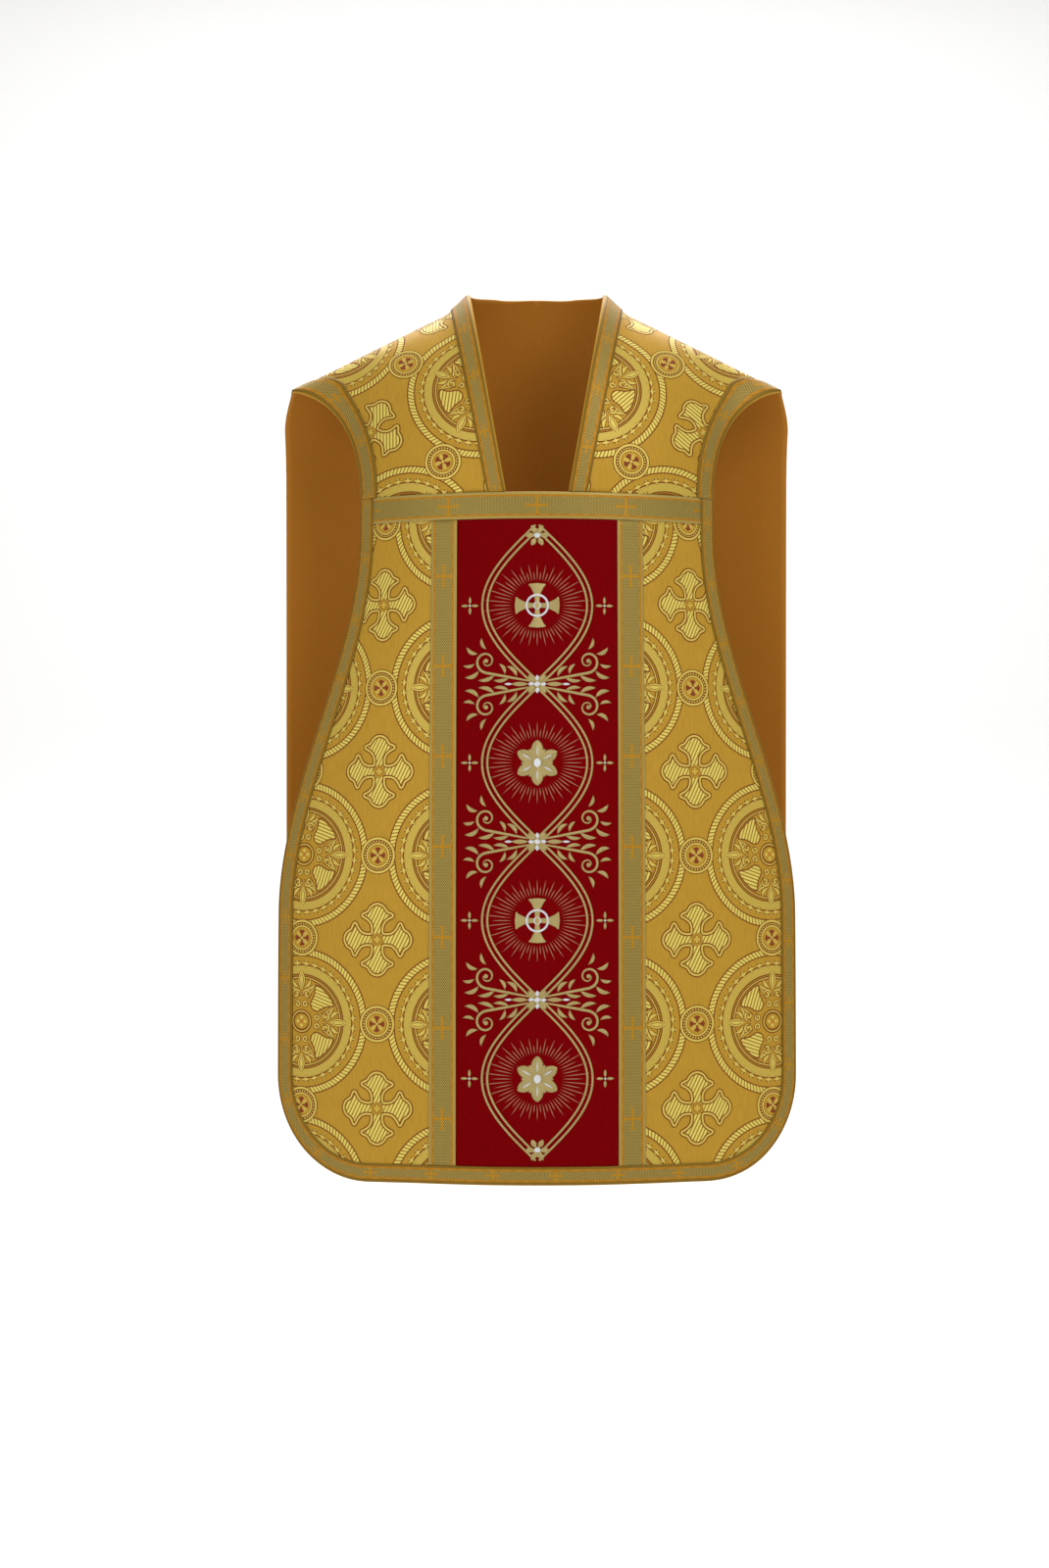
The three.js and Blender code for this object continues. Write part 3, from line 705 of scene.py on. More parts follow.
WIDE, NARROW, CHEST_WIDTH = 33, 22, 32
CROSS_PITCH, NARROW_PITCH, FIRST_CROSS = 107, 74, 99
WIDE_CROSS = 12, 9.5, 1.3       # half lengths of its two bars, half their width
NARROW_CROSS = 7, 4.5, 1.0
wide_weave = braid_material("wide_braid", "a18d48", "a8924e", WIDE, CROSS_PITCH, WIDE_CROSS)
narrow_weave = braid_material("narrow_braid", "a38c47", "7c5e18", NARROW, NARROW_PITCH, NARROW_CROSS)

# %% [markdown]
# A braid lies on the cloth along a path. To keep its width the same all along, its cross rows
# are stepped off on the sheet itself, at a right angle to the path, a little at a time.

# %% Braid makers
LIFT, BRAID_THICKNESS = 0.8, 1.0
ACROSS_SHARE = np.array([0, 0.03, 0.1, 0.2, 0.35, 0.5, 0.65, 0.8, 0.9, 0.97, 1])
BRAID_COLUMNS = len(ACROSS_SHARE)
PROFILE = np.array([(0.0, 0.35), (0.03, 0.85), (0.1, 1.0), (0.9, 1.0), (0.97, 0.85), (1.0, 0.35)])


def step_inward(sheet, a, b, distance, side):
    """Moves a path of places sideways on a sheet. The direction is the cross product of normal
    and path, and the two slopes of the sheet turn it back into a change of a and of b."""
    slope_a, slope_b = slopes(sheet, a, b)
    tangent = np.gradient(sheet(a, b), axis=0)
    normal = np.cross(slope_a, slope_b)
    move = np.cross(normal, tangent)
    move *= side * distance / np.linalg.norm(move, axis=-1, keepdims=True)
    aa, ab, bb = ((p * q).sum(-1) for p, q in ((slope_a, slope_a), (slope_a, slope_b), (slope_b, slope_b)))
    pa, pb = (move * slope_a).sum(-1), (move * slope_b).sum(-1)
    area = aa * bb - ab * ab
    return a + (pa * bb - pb * ab) / area, b + (pb * aa - pa * ab) / area


def along_path(points):
    """Distance along a path from its start, in millimetres."""
    return np.concatenate([[0], np.cumsum(np.linalg.norm(np.diff(points, axis=0), axis=1))])


def braid_rows(sheet, rows_a, rows_b, outward, extra=0.0):
    """Upper and lower points of a braid whose places are given as columns across it."""
    top = np.interp(ACROSS_SHARE, PROFILE[:, 0], PROFILE[:, 1]) * BRAID_THICKNESS
    upper = lay_on(sheet, rows_a, rows_b, LIFT + top + extra, outward)
    lower = lay_on(sheet, rows_a, rows_b, LIFT + 0 * top + extra, outward)
    return upper, lower


def braid_piece(name, skins, along, across, material, node):
    """Closes a braid's upper and lower skins, with the faces outwards, and gives it the weave."""
    upper, lower = skins
    normal = np.cross(upper[0, 1] - upper[0, 0], upper[1, 0] - upper[0, 0])
    faces = grid_faces(*upper.shape[:2])
    if normal @ (upper[0, 0] - lower[0, 0]) < 0:
        faces = faces[:, ::-1]
    piece = shell_piece(name, upper, lower, faces, [material], along[:, None], across)
    return finish_piece(piece, "braid", node)


# %% The two braids of the orphrey, and the one across the chest
ORPHREY_HALF = 96
SIDE_GAP, END_GAP = 0.2, 0.3    # between a braid and what lies beside it or at its end
BRAID_TOP, BRAID_FOOT = CHEST_WIDTH + END_GAP, FRONT_LENGTH - NARROW - END_GAP
braid_down = np.linspace(BRAID_TOP, BRAID_FOOT, 150)
wide_across = (ACROSS_SHARE - 0.5) * WIDE
narrow_across = (ACROSS_SHARE - 0.5) * NARROW
for side, braid_name in ((1, "orphrey_braid_left"), (-1, "orphrey_braid_right")):
    across = side * (ORPHREY_HALF + SIDE_GAP + (WIDE - SIDE_GAP) * ACROSS_SHARE)
    rows_a, rows_b = np.broadcast_arrays(across, braid_down[:, None])
    skins = braid_rows(front_sheet, rows_a, rows_b, -1)
    run = braid_down - FIRST_CROSS
    braid_piece(braid_name + "_weave", skins, run, wide_across, wide_weave, braid_name)

CHEST_END = front_half(0.0) - NARROW - 2 * END_GAP
chest_across = np.linspace(-CHEST_END, CHEST_END, 90)
rows_a, rows_b = np.broadcast_arrays(chest_across[:, None], ACROSS_SHARE * CHEST_WIDTH)
skins = braid_rows(front_sheet, rows_a, rows_b, -1)
chest_braid = braid_piece("chest_braid_weave", skins, chest_across, wide_across, wide_weave, "chest_braid")

# %% [markdown]
# The narrow braid covers every raw edge: round the neck, over each armhole and round both hems.
# It leaves about a millimetre of the turned edge of the cloth in sight.

# %% The braid round the edges
TURNED_EDGE = 1.2


def panel_edge(half, length):
    """The edge of a panel from its left top round the hem to its right top, as across and down."""
    low = length - CORNER_RADIUS
    straight = np.linspace(0, low, 130)
    turn = np.linspace(0, np.pi / 2, 44)[1:]
    centre = float(half(np.array(low))) - CORNER_RADIUS
    hem = np.linspace(centre, 0, 34)[1:]
    across = np.concatenate([half(straight), centre + CORNER_RADIUS * np.cos(turn), hem])
    down = np.concatenate([straight, low + CORNER_RADIUS * np.sin(turn), np.full(len(hem), length)])
    return np.concatenate([-across, across[-2::-1]]), np.concatenate([down, down[-2::-1]])


def edge_rows(sheet, a, b, side):
    """Columns of places from an edge inwards, each stepped off from the one before."""
    rows = [step_inward(sheet, a, b, TURNED_EDGE, side)]
    for width in (NARROW - TURNED_EDGE) * np.diff(ACROSS_SHARE):
        rows.append(step_inward(sheet, *rows[-1], width, side))
    return np.stack([r[0] for r in rows], 1), np.stack([r[1] for r in rows], 1)


def narrow_braid(name, skins, node):
    """A narrow braid, with its crosses counted off along its middle."""
    along = along_path(skins[0][:, BRAID_COLUMNS // 2])
    print(f"{name}: {along[-1] * MM:.2f} m of braid")
    return braid_piece(name, skins, along, narrow_across, narrow_weave, node)


rows_a, rows_b = edge_rows(front_sheet, *panel_edge(front_half, FRONT_LENGTH), -1)
skins = braid_rows(front_sheet, rows_a, np.maximum(rows_b, END_GAP), -1)
front_edge = narrow_braid("front_edge_weave", skins, "edge_braid_front")

# %% [markdown]
# On the shoulders an edge runs askew to the cloth's height, so a row that is straight across has
# to be a little longer to keep the braid's width at a right angle to the edge.

# %% The braid over the armholes and round the back
FIRST_ANGLE = -89.9             # just above the chest seam


def arch_rows(half, angles, inward):
    """Rows of a braid beside an edge of the arch, both sides of the middle. The edge is a half
    width at each angle, and inward is 1 where the cloth lies outside it and -1 where inside."""
    x = half(angles)
    run = np.gradient(x) / np.gradient(along_path(shoulder_arch(x, angles)))
    wide = inward / np.sqrt(np.clip(1 - run**2, 0.3, 1))
    rows_a = x[:, None] + wide[:, None] * (TURNED_EDGE + (NARROW - TURNED_EDGE) * ACROSS_SHARE)
    rows_b = np.repeat(angles[:, None], BRAID_COLUMNS, 1)
    return [braid_rows(shoulder_arch, side * rows_a, rows_b, 1) for side in (-1, 1)]


def joined(left, middle, right):
    """Three lengths of braid as one, the last of them turned round."""
    return [np.concatenate([le, mi, ri[::-1]]) for le, mi, ri in zip(left, middle, right)]


left_arm, right_arm = arch_rows(arm_half, np.linspace(FIRST_ANGLE, 90, 150), -1)
rows_a, rows_b = edge_rows(back_sheet, *panel_edge(back_half, BACK_LENGTH), -1)
hang = braid_rows(back_sheet, rows_a[1:-1], np.maximum(rows_b, 0)[1:-1], 1)
back_edge = narrow_braid("back_edge_weave", joined(left_arm, hang, right_arm), "edge_braid_back")

# %% The braid round the neck
NAPE_LIFT = 1.1
left_strap, right_strap = arch_rows(neck_half, np.linspace(FIRST_ANGLE, 0, 90), 1)
nape_turn = np.linspace(0, np.pi, 74)[1:-1]
nape_edge = -NECK_SIDE_HALF * np.cos(nape_turn), NAPE_ANGLE * np.sin(nape_turn)
lifted = NAPE_LIFT * np.sqrt(np.sin(nape_turn))[:, None]
nape = braid_rows(shoulder_arch, *edge_rows(shoulder_arch, *nape_edge, 1), 1, lifted)
neck_braid = narrow_braid("neck_weave", joined(left_strap, nape, right_strap), "neck_braid")

# %% [markdown]
# ## The figures of the damask
#
# The repeat has three figures: a large roundel inside a roped ring, a small medallion where two
# rings meet, and a cross in the space between four rings. A designer draws them with compasses
# from a few strokes. Here too each one is a set of ribbons: a path on the flat cloth, a half
# width along it, and bands of thread from its edge inwards. On the cloth a ribbon stands a few
# tenths of a millimetre proud, as a woven figure does, and its edges sink below the ground.

# %% Ribbons
Figure = namedtuple("Figure", "places uv faces slots")      # places: across, down and height, mm
SINK = -0.25
BAND_RISE = 0.04
WIDEST_STRIP = 4.5              # wider ribbons get more columns, so that they bend with the cloth


def ribbon(path, half, bands, height, closed=False, limit=None, rise=BAND_RISE):
    """Columns of points on both sides of a path. Each band is (inset, slot): from that inset on,
    inwards from the edge, the ribbon has that thread. limit cuts the ribbon to a half width
    without moving its bands, so that the arms of a cross can meet along a mitre. rise is how much
    higher each band lies than the one outside it."""
    path = np.asarray(path, float)
    half = np.broadcast_to(np.asarray(half, float), len(path))
    if closed:
        path = np.concatenate([path, path[:1]])
        half = np.concatenate([half, half[:1]])
        tangent = np.roll(path[:-1], -1, axis=0) - np.roll(path[:-1], 1, axis=0)
        tangent = np.concatenate([tangent, tangent[:1]])
    else:
        tangent = np.gradient(path, axis=0)
    tangent = tangent / np.maximum(np.linalg.norm(tangent, axis=1, keepdims=True), 1e-9)
    sideways = np.stack([-tangent[:, 1], tangent[:, 0]], -1)
    insets = np.array([inset for inset, _ in bands])
    out = np.maximum(half[:, None] - insets, 0)
    extra = int(out[:, -1].max() / WIDEST_STRIP)
    shares = 1 - np.arange(1, extra + 1) / (extra + 0.5)
    out = np.concatenate([out, out[:, -1:] * shares], axis=1)
    if limit is not None:
        out = np.minimum(out, limit[:, None])
    across = np.concatenate([out[:, :1], out, -out[:, ::-1], -out[:, :1]], axis=1)
    levels = height + rise * np.minimum(np.arange(len(bands) + extra), len(bands) - 1)
    heights = np.concatenate([[SINK], levels, levels[::-1], [SINK]])
    flat = path[:, None] + across[..., None] * sideways[:, None]
    places = np.concatenate([flat, np.broadcast_to(heights[:, None], (*across.shape, 1))], -1)
    along = np.broadcast_to(along_path(path)[:, None], across.shape)
    threads = np.stack([along, across], -1)
    slots = [slot for _, slot in bands] + [bands[-1][1]] * extra
    strips = [slots[0], *slots, *slots[-2::-1], slots[0]]
    faces = grid_faces(*across.shape)
    return Figure(places.reshape(-1, 3), threads.reshape(-1, 2), faces, np.tile(strips, len(path) - 1))


# %% Copies of a figure
def merge(figures):
    """Several figures as one."""
    starts = np.cumsum([0] + [len(f.places) for f in figures[:-1]])
    return Figure(
        np.concatenate([f.places for f in figures]),
        np.concatenate([f.uv for f in figures]),
        np.concatenate([f.faces + start for f, start in zip(figures, starts)]),
        np.concatenate([f.slots for f in figures]),
    )


def placed(figure, centres, turns=0.0):
    """Copies of a figure, each turned by its angle in degrees and moved to its centre."""
    centres = np.asarray(centres, float).reshape(-1, 2)
    turns = np.radians(np.broadcast_to(turns, len(centres)))[:, None]
    x, y, height = figure.places.T
    moved_x = centres[:, :1] + x * np.cos(turns) - y * np.sin(turns)
    moved_y = centres[:, 1:] + x * np.sin(turns) + y * np.cos(turns)
    places = np.stack([moved_x, moved_y, np.broadcast_to(height, moved_x.shape)], -1)
    starts = np.arange(len(centres))[:, None, None] * len(figure.places)
    return Figure(
        places.reshape(-1, 3),
        np.tile(figure.uv, (len(centres), 1)),
        (figure.faces + starts).reshape(-1, 4),
        np.tile(figure.slots, len(centres)),
    )


def mirrored(figure):
    """The figure and its mirror image on the other side of the across axis."""
    other = Figure(figure.places * (1, -1, 1), figure.uv * (1, -1), figure.faces[:, ::-1], figure.slots)
    return merge([figure, other])


def circle(turn):
    """Points of a circle of radius 1, at angles in radians."""
    return np.stack([np.cos(turn), np.sin(turn)], -1)


def all_round(figure, count, radius=0.0, start=0.0):
    """Copies at equal angles round a circle, each turned outwards."""
    turns = start + np.arange(count) * 360 / count
    return placed(figure, radius * circle(np.radians(turns)), turns)


# %% Rings, discs, leaves and spirals
def ring(radius, half, bands, height, count):
    """A closed ribbon round a circle."""
    return ribbon(radius * circle(np.arange(count) * 2 * np.pi / count), half, bands, height, closed=True)


def straight(table, bands, height, **more):
    """A ribbon along the across axis, from a table of distances and half widths."""
    return ribbon(table * (1, 0), table[:, 1], bands, height, **more)


def disc(radius, bands, height, count):
    """A ribbon along a diameter, as wide as the circle is there."""
    return straight(radius * circle(np.linspace(np.pi, 0, count + 1)), bands, height)


def leaf(start, end, half, bands, height, bend=0.0, count=9, tip=0.8, rise=BAND_RISE):
    """A pointed ribbon from start to end, whose middle stands off to one side by bend."""
    start, end = np.array(start, float), np.array(end, float)
    t = np.linspace(0, 1, count)[:, None]
    side = np.array([start[1] - end[1], end[0] - start[0]]) / np.linalg.norm(end - start)
    path = start + (end - start) * t + bend * np.sin(np.pi * t) * side
    return ribbon(path, half * np.sin(np.pi * t[:, 0]) ** tip, bands, height, rise=rise)


def spiral(centre, radius, core, start, sweep, power, count):
    """A path that winds in from radius to core through an angle in degrees."""
    t = np.linspace(0, 1, count)
    return np.array(centre) + mix(radius, core, t**power)[:, None] * circle(np.radians(start + sweep * t))


def scroll(centre, radius, core, start, sweep, half, height, count):
    """A finely outlined ribbon on a spiral, which starts from a point."""
    wide = half * np.minimum(1, 0.35 + 4 * np.linspace(0, 1, count))
    return ribbon(spiral(centre, radius, core, start, sweep, 0.8, count), wide, FINE, height)


def even_path(corners, step, closed=False):
    """The same path with points at even steps, each eased towards its two neighbours."""
    corners = np.asarray(corners, float)
    line = np.concatenate([corners, corners[:1]]) if closed else corners
    run = along_path(line)
    places = np.linspace(0, run[-1], max(int(run[-1] / step), 3) + 1)
    path = np.stack([np.interp(places, run, line[:, k]) for k in (0, 1)], -1)
    if closed:
        path = path[:-1]
        return (path + 0.5 * (np.roll(path, 1, axis=0) + np.roll(path, -1, axis=0))) / 2
    path[1:-1] = (path[1:-1] + 0.5 * (path[:-2] + path[2:])) / 2
    return path


# %% The cross between the rings
LINE = 1.5                      # width of a brown outline
LINED = [(0, OUTLINE), (LINE, LIGHT)]
LINED_HATCH = [(0, OUTLINE), (LINE, HATCHED)]
FINE = [(0, OUTLINE), (0.85, LIGHT)]
PALE, BROWN, OCHRE = [(0, LIGHT)], [(0, OUTLINE)], [(0, GROUND)]
WAIST = 6.6
CROSS_ARM = np.array([          # distance from the middle, half width
    (0.5, WAIST), (3.5, WAIST), (WAIST, WAIST), (10, WAIST), (15, 6.7), (19, 8.0), (22.4, 10.8), (25, 14.6),
    (26.8, 18.4), (27.8, 20.8), (30.2, 19.8), (31.6, 16.2), (32.8, 12.8), (33.8, 11.2), (35.6, 10.8),
    (37.6, 9.8), (39.4, 8.0), (41.2, 5.4), (42.2, 2.8), (42.8, 0),
])
is_arm = CROSS_ARM[:, 0] >= WAIST
upper_edge = CROSS_ARM[is_arm]
one_arm = np.concatenate([upper_edge, (upper_edge * (1, -1))[::-1]])
turned_arms = [one_arm @ np.array([(c, s), (-s, c)]) for c, s in ((1, 0), (0, -1), (-1, 0), (0, 1))]
cross_edge = even_path(np.concatenate(turned_arms), 2.3, closed=True)
border = ribbon(cross_edge, 1.1 + LINE, LINED, 0.16, closed=True)
fill = straight(CROSS_ARM, [(0, HATCHED)], 0.1, limit=np.where(is_arm, 99, CROSS_ARM[:, 0]))
level_fill = fill._replace(uv=fill.uv * (1, -1))
upright_fill = fill._replace(uv=fill.uv[:, ::-1])       # hatched with the same lean as the level arms
tiny_cross = merge([
    all_round(leaf((0, 0), (3.9, 0), 0.75, PALE, 0.36, count=5), 4),
    all_round(disc(0.9, PALE, 0.38, 4), 4, 3.2),
])
cross = merge([
    all_round(level_fill, 2),
    all_round(upright_fill, 2, start=90),
    border,
    disc(7.6, BROWN, 0.28, 16),
    ring(6.2, 1.0, OCHRE, 0.33, 28),
    disc(4.6, OCHRE, 0.31, 12),
    tiny_cross,
])
print("cross:", len(cross.faces), "faces")

# %% The small medallion
SMALL_ARM = np.array([(0.6, 1.7), (3.4, 1.9), (5.6, 2.9), (7.8, 5.0), (8.9, 3.8), (9.8, 0)])
small_arm = straight(SMALL_ARM, [(0, LIGHT), (0.7, RUSSET)], 0.42)
medallion = merge([
    disc(22.4, BROWN, 0.3, 30),
    ring(20.2, 1.25, PALE, 0.36, 60),
    all_round(disc(1.05, PALE, 0.38, 4), 30, 16.8),
    ring(13.9, 0.95, PALE, 0.36, 44),
    disc(12.4, OCHRE, 0.34, 20),
    all_round(small_arm, 4),
    all_round(leaf((3.2, 0), (10.8, 0), 0.9, PALE, 0.38, count=6), 4, start=45),
    disc(1.5, PALE, 0.5, 6),
])
print("medallion:", len(medallion.faces), "faces")

# %% The roundel
flower = merge([
    leaf((-5.2, 0), (5.2, 0), 3.0, [(0, OUTLINE), (1.1, LIGHT)], 0.22, count=5),
    leaf((0, -5.2), (0, 5.2), 3.0, [(0, OUTLINE), (1.1, LIGHT)], 0.24, count=5),
])
WING = np.array([(21, 0), (22, 4.5), (25, 7.4), (29, 8.4), (34, 9.6), (39, 12.4), (42.5, 16.5), (44.5, 18.4),
                 (46.3, 16.4), (47.8, 11.0), (48.6, 5.5), (48.8, 0)])
wing_edge = np.concatenate([WING, (WING * (1, -1))[-2:0:-1]])
wing = merge([
    straight(WING, [(0, HATCHED)], 0.1),
    ribbon(even_path(wing_edge, 2.8, closed=True), LINE / 2, BROWN, 0.16, closed=True),
])
half_quarter = merge([
    scroll((33, 7.8), 6.4, 1.8, -120, 470, 2.0, 0.2, 14),
    scroll((20.5, 5.4), 4.4, 1.5, 80, -400, 1.8, 0.22, 12),
    leaf((40, 3.2), (51.5, 12.6), 2.8, FINE, 0.18, bend=2.6, count=8),
    leaf((39, 6.5), (45.5, 19.5), 2.4, FINE, 0.17, bend=2.0, count=7),
    leaf((26, 9.5), (43.5, 21.5), 1.7, FINE, 0.24, bend=-2.4, count=8),
])
quarter = merge([
    mirrored(half_quarter),
    leaf((38, 0), (61.5, 0), 5.4, [(0, OUTLINE), (0.8, LIGHT), (2.4, OUTLINE), (3.2, LIGHT)], 0.26, count=9),
])
roundel = merge([
    ring(83, 4.9, LINED_HATCH, 0.1, 84),
    all_round(flower, 36, 69.6, 5),
    ring(62.0, 6.4, [(0, OUTLINE), (LINE, BAND)], 0.1, 66),
    ring(52.6, 2.1, LINED, 0.12, 66),
    all_round(wing, 4, start=45),
    all_round(quarter, 4),
    ring(12.2, 2.2, LINED, 0.28, 30),
    disc(9.6, [(0, OUTLINE), (0.7, GROUND)], 0.2, 16),
    all_round(disc(2.1, PALE, 0.32, 8), 4, 4.9),
    disc(1.6, [(0, ACCENT)], 0.36, 6),
])
print("roundel:", len(roundel.faces), "faces")

# %% [markdown]
# ## Laying the repeat on the panels
#
# The repeat is two hundred millimetres square. On the front the cutter placed it the same on
# both sides of the middle. On the straps it stands askew, because they were cut along the slope
# of the shoulder. The flat drawing is carried over to the sheets point by point, by lengths
# measured on the cloth, so that no figure is stretched.

# %% The repeat on a lattice
REPEAT = 200


def lattice(origin, first_axis, second_axis, reach):
    """Roundels at the points of a lattice, medallions halfway between two and crosses between
    four, turned with the lattice."""
    i, j = np.meshgrid(np.arange(-reach, reach + 1), np.arange(-reach, reach + 1), indexing="ij")
    e, f = np.array(first_axis, float), np.array(second_axis, float)
    points = np.array(origin, float) + i.reshape(-1, 1) * e + j.reshape(-1, 1) * f
    turn = np.degrees(np.arctan2(e[1], e[0]))
    return [(roundel, points, turn), (medallion, points + e / 2, turn), (medallion, points + f / 2, turn),
            (cross, points + (e + f) / 2, turn)]


# %% From flat figures to a piece
FIGURE_REACH = {id(roundel): 88, id(medallion): 22, id(cross): 46}
AROUND = circle(np.linspace(0, 2 * np.pi, 25)[:-1])
CRUSHED = 1e-3                  # a face with less than this, in square millimetres, is left out


def piece_of_figure(name, figure, keep, to_sheet, materials, slot):
    """Carries the faces to keep over to a sheet, without those that are crushed to a line, by the
    product of their diagonals."""
    a, b, c, d = np.moveaxis(figure.places[figure.faces], 1, 0)
    keep = keep & (np.linalg.norm(np.cross(c - a, d - b), axis=-1) > CRUSHED)
    used, faces = np.unique(figure.faces[keep], return_inverse=True)
    points, normals, is_flipped = to_sheet(figure.places[used])
    faces = faces.reshape(-1, 4)
    faces = faces[:, ::-1] if is_flipped else faces
    piece = put_mesh(name, points * MM, faces, materials, figure.slots[keep], figure.uv[used] * MM)
    if normals is not None:
        piece.data.normals_split_custom_set_from_vertices(normals)
    return finish_piece(piece, slot)


def laid_figures(name, lattices, is_inside, to_sheet):
    """Makes a piece from the figures of some lattices. is_inside says of flat places whether they
    are on the panel, and to_sheet carries places over to the sheet."""
    parts = []
    for figure, centres, turn in lattices:
        reach = FIGURE_REACH[id(figure)] * np.array([0, 0.5, 1])
        tests = centres[:, None, None] + AROUND[:, None] * reach[:, None]
        shown = is_inside(tests[..., 0], tests[..., 1]).any(axis=(1, 2))
        if shown.any():
            parts.append(placed(figure, centres[shown], turn))
    whole = merge(parts)
    keep = is_inside(*whole.places[whole.faces, :2].mean(axis=1).T)
    return piece_of_figure(name, whole, keep, to_sheet, DAMASK, "damask")


def both_halves(origin, axes, reach):
    """A lattice on each half of a panel, with its origin mirrored. axes gives the lattice's two
    axes for a side, which is 1 or -1."""
    entries = []
    for side in (1, -1):
        for figure, centres, turn in lattice(np.array(origin) * (side, 1), *axes(side), reach):
            entries.append((figure, centres[centres[:, 0] * side > 0], turn))
    return entries


def sheet_places(sheet, a, b, height, outward):
    """Places on a sheet at a height above it, and the sheet's normals there."""
    base = lay_on(sheet, a, b, 0 * height, outward)
    lifted = lay_on(sheet, a, b, height + 0 * a, outward)
    above = lay_on(sheet, a, b, 1 + 0 * a, outward)
    return lifted, above - base


# %% The figures of the front
FRONT_ORIGIN = (93, 31)
BRAID_COVER = 17                # the narrow braid hides the last of a figure
WIDE_COVER = 15                 # and the wide one hides its first part, from the orphrey on


def on_front(across, down):
    """Inside the edge braid, below the chest braid and beside the orphrey."""
    edge = front_half(np.clip(down, 0, FRONT_LENGTH)) - BRAID_COVER
    inside = (abs(across) < edge) & (abs(across) > ORPHREY_HALF + WIDE_COVER)
    return inside & (down > CHEST_WIDTH / 2) & (down < FRONT_LENGTH - BRAID_COVER)


def to_front(places):
    across, down, height = places.T
    return *sheet_places(front_sheet, across, down, height, -1), True


def straight_axes(side):
    return (REPEAT, 0), (0, REPEAT)


front_lattices = both_halves(FRONT_ORIGIN, straight_axes, 5)
front_figures = laid_figures("front_figures", front_lattices, on_front, to_front)

# %% The figures of the straps
STRAP_ORIGIN = (69, 128.4)      # across, and up along the cloth from the chest seam
STRAP_TURN = np.radians(25.6)
TABLE_X = np.arange(20, 341, 3.0)
TABLE_ANGLES = np.linspace(-95, 95, 381)
TABLE_RUN = np.arange(-10, 800, 2.0)

arch_table = shoulder_arch(TABLE_X[:, None], TABLE_ANGLES)
steps = np.linalg.norm(np.diff(arch_table, axis=1), axis=-1)
run_table = np.concatenate([np.zeros((len(TABLE_X), 1)), np.cumsum(steps, axis=1)], axis=1)
run_table -= np.array([np.interp(-90, TABLE_ANGLES, row) for row in run_table])[:, None]
angle_table = np.array([np.interp(TABLE_RUN, row, TABLE_ANGLES) for row in run_table])
blade_run = np.array([np.interp(90, TABLE_ANGLES, row) for row in run_table])


def arch_angle(x, run):
    """The angle on the arch that lies a length of cloth up from the chest seam, read from a table
    of lengths by taking shares of its four nearest entries."""
    i = np.clip((abs(x) - TABLE_X[0]) / (TABLE_X[1] - TABLE_X[0]), 0, len(TABLE_X) - 1.001)
    j = np.clip((run - TABLE_RUN[0]) / (TABLE_RUN[1] - TABLE_RUN[0]), 0, len(TABLE_RUN) - 1.001)
    low_i, low_j = i.astype(int), j.astype(int)
    s, t = i - low_i, j - low_j
    near = mix(angle_table[low_i, low_j], angle_table[low_i, low_j + 1], t)
    far = mix(angle_table[low_i + 1, low_j], angle_table[low_i + 1, low_j + 1], t)
    return mix(near, far, s)


def inside_arch(x, angle):
    """Between the neck braid and the armhole braid."""
    inner = neck_half(np.clip(angle, -90, NAPE_ANGLE)) + BRAID_COVER
    inner = np.where(angle > NAPE_ANGLE - 4, 0, inner)
    return (abs(x) > inner) & (abs(x) < arm_half(angle) - BRAID_COVER)


def on_strap(x, run):
    angle = arch_angle(x, run)
    return inside_arch(x, angle) & (run > 1) & (angle < 0)


def to_strap(places):
    x, run, height = places.T
    return *sheet_places(shoulder_arch, x, arch_angle(x, run), height, 1), False


def askew_axes(side):
    c, s = REPEAT * np.cos(STRAP_TURN), REPEAT * np.sin(STRAP_TURN)
    return (c * side, s), (s * side, -c)


strap_lattices = both_halves(STRAP_ORIGIN, askew_axes, 3)
strap_figures = laid_figures("strap_figures", strap_lattices, on_strap, to_strap)

# %% [markdown]
# The back hangs straight, so the repeat hangs straight on it too and runs on over the blades to
# the ridge of the shoulders. It is made in two pieces to keep each one light.

# %% The figures of the back
BACK_ORIGIN = (0, -180)
MEETING_DOWN = 290
NAPE_BRAID = 14, 8              # how far the nape's braid reaches, in millimetres and in degrees


def back_half_at(down):
    return back_half(np.clip(down, 0, BACK_LENGTH)) - BRAID_COVER


def on_low_back(across, down):
    inside = abs(across) < back_half_at(down)
    return inside & (down >= MEETING_DOWN) & (down < BACK_LENGTH - BRAID_COVER)


def arch_of_back(across, down):
    """The straight distance across and the angle of a place above the blade line."""
    x = BLADE_RADIUS * np.sin(across / BLADE_RADIUS)
    top = np.interp(abs(x), TABLE_X, blade_run)
    return x, arch_angle(x, top + np.minimum(down, 0))


def on_high_back(across, down):
    x, angle = arch_of_back(across, down)
    above = inside_arch(x, angle) & (angle > 0) & neck_clear(x, angle)
    below = (abs(across) < back_half_at(down)) & (down < MEETING_DOWN)
    return np.where(down < 0, above, below)


def neck_clear(x, angle):
    """Outside the nape's braid, whose lower edge is a wider ellipse than the opening."""
    return (x / (NECK_SIDE_HALF + NAPE_BRAID[0])) ** 2 + (angle / (NAPE_ANGLE + NAPE_BRAID[1])) ** 2 > 1


def to_back(places):
    across, down, height = places.T
    x, angle = arch_of_back(across, down)
    hung = sheet_places(back_sheet, across, down, height, 1)
    bent = sheet_places(shoulder_arch, x, angle, height, 1)
    is_bent = (down < 0)[:, None]
    return np.where(is_bent, bent[0], hung[0]), np.where(is_bent, bent[1], hung[1]), False


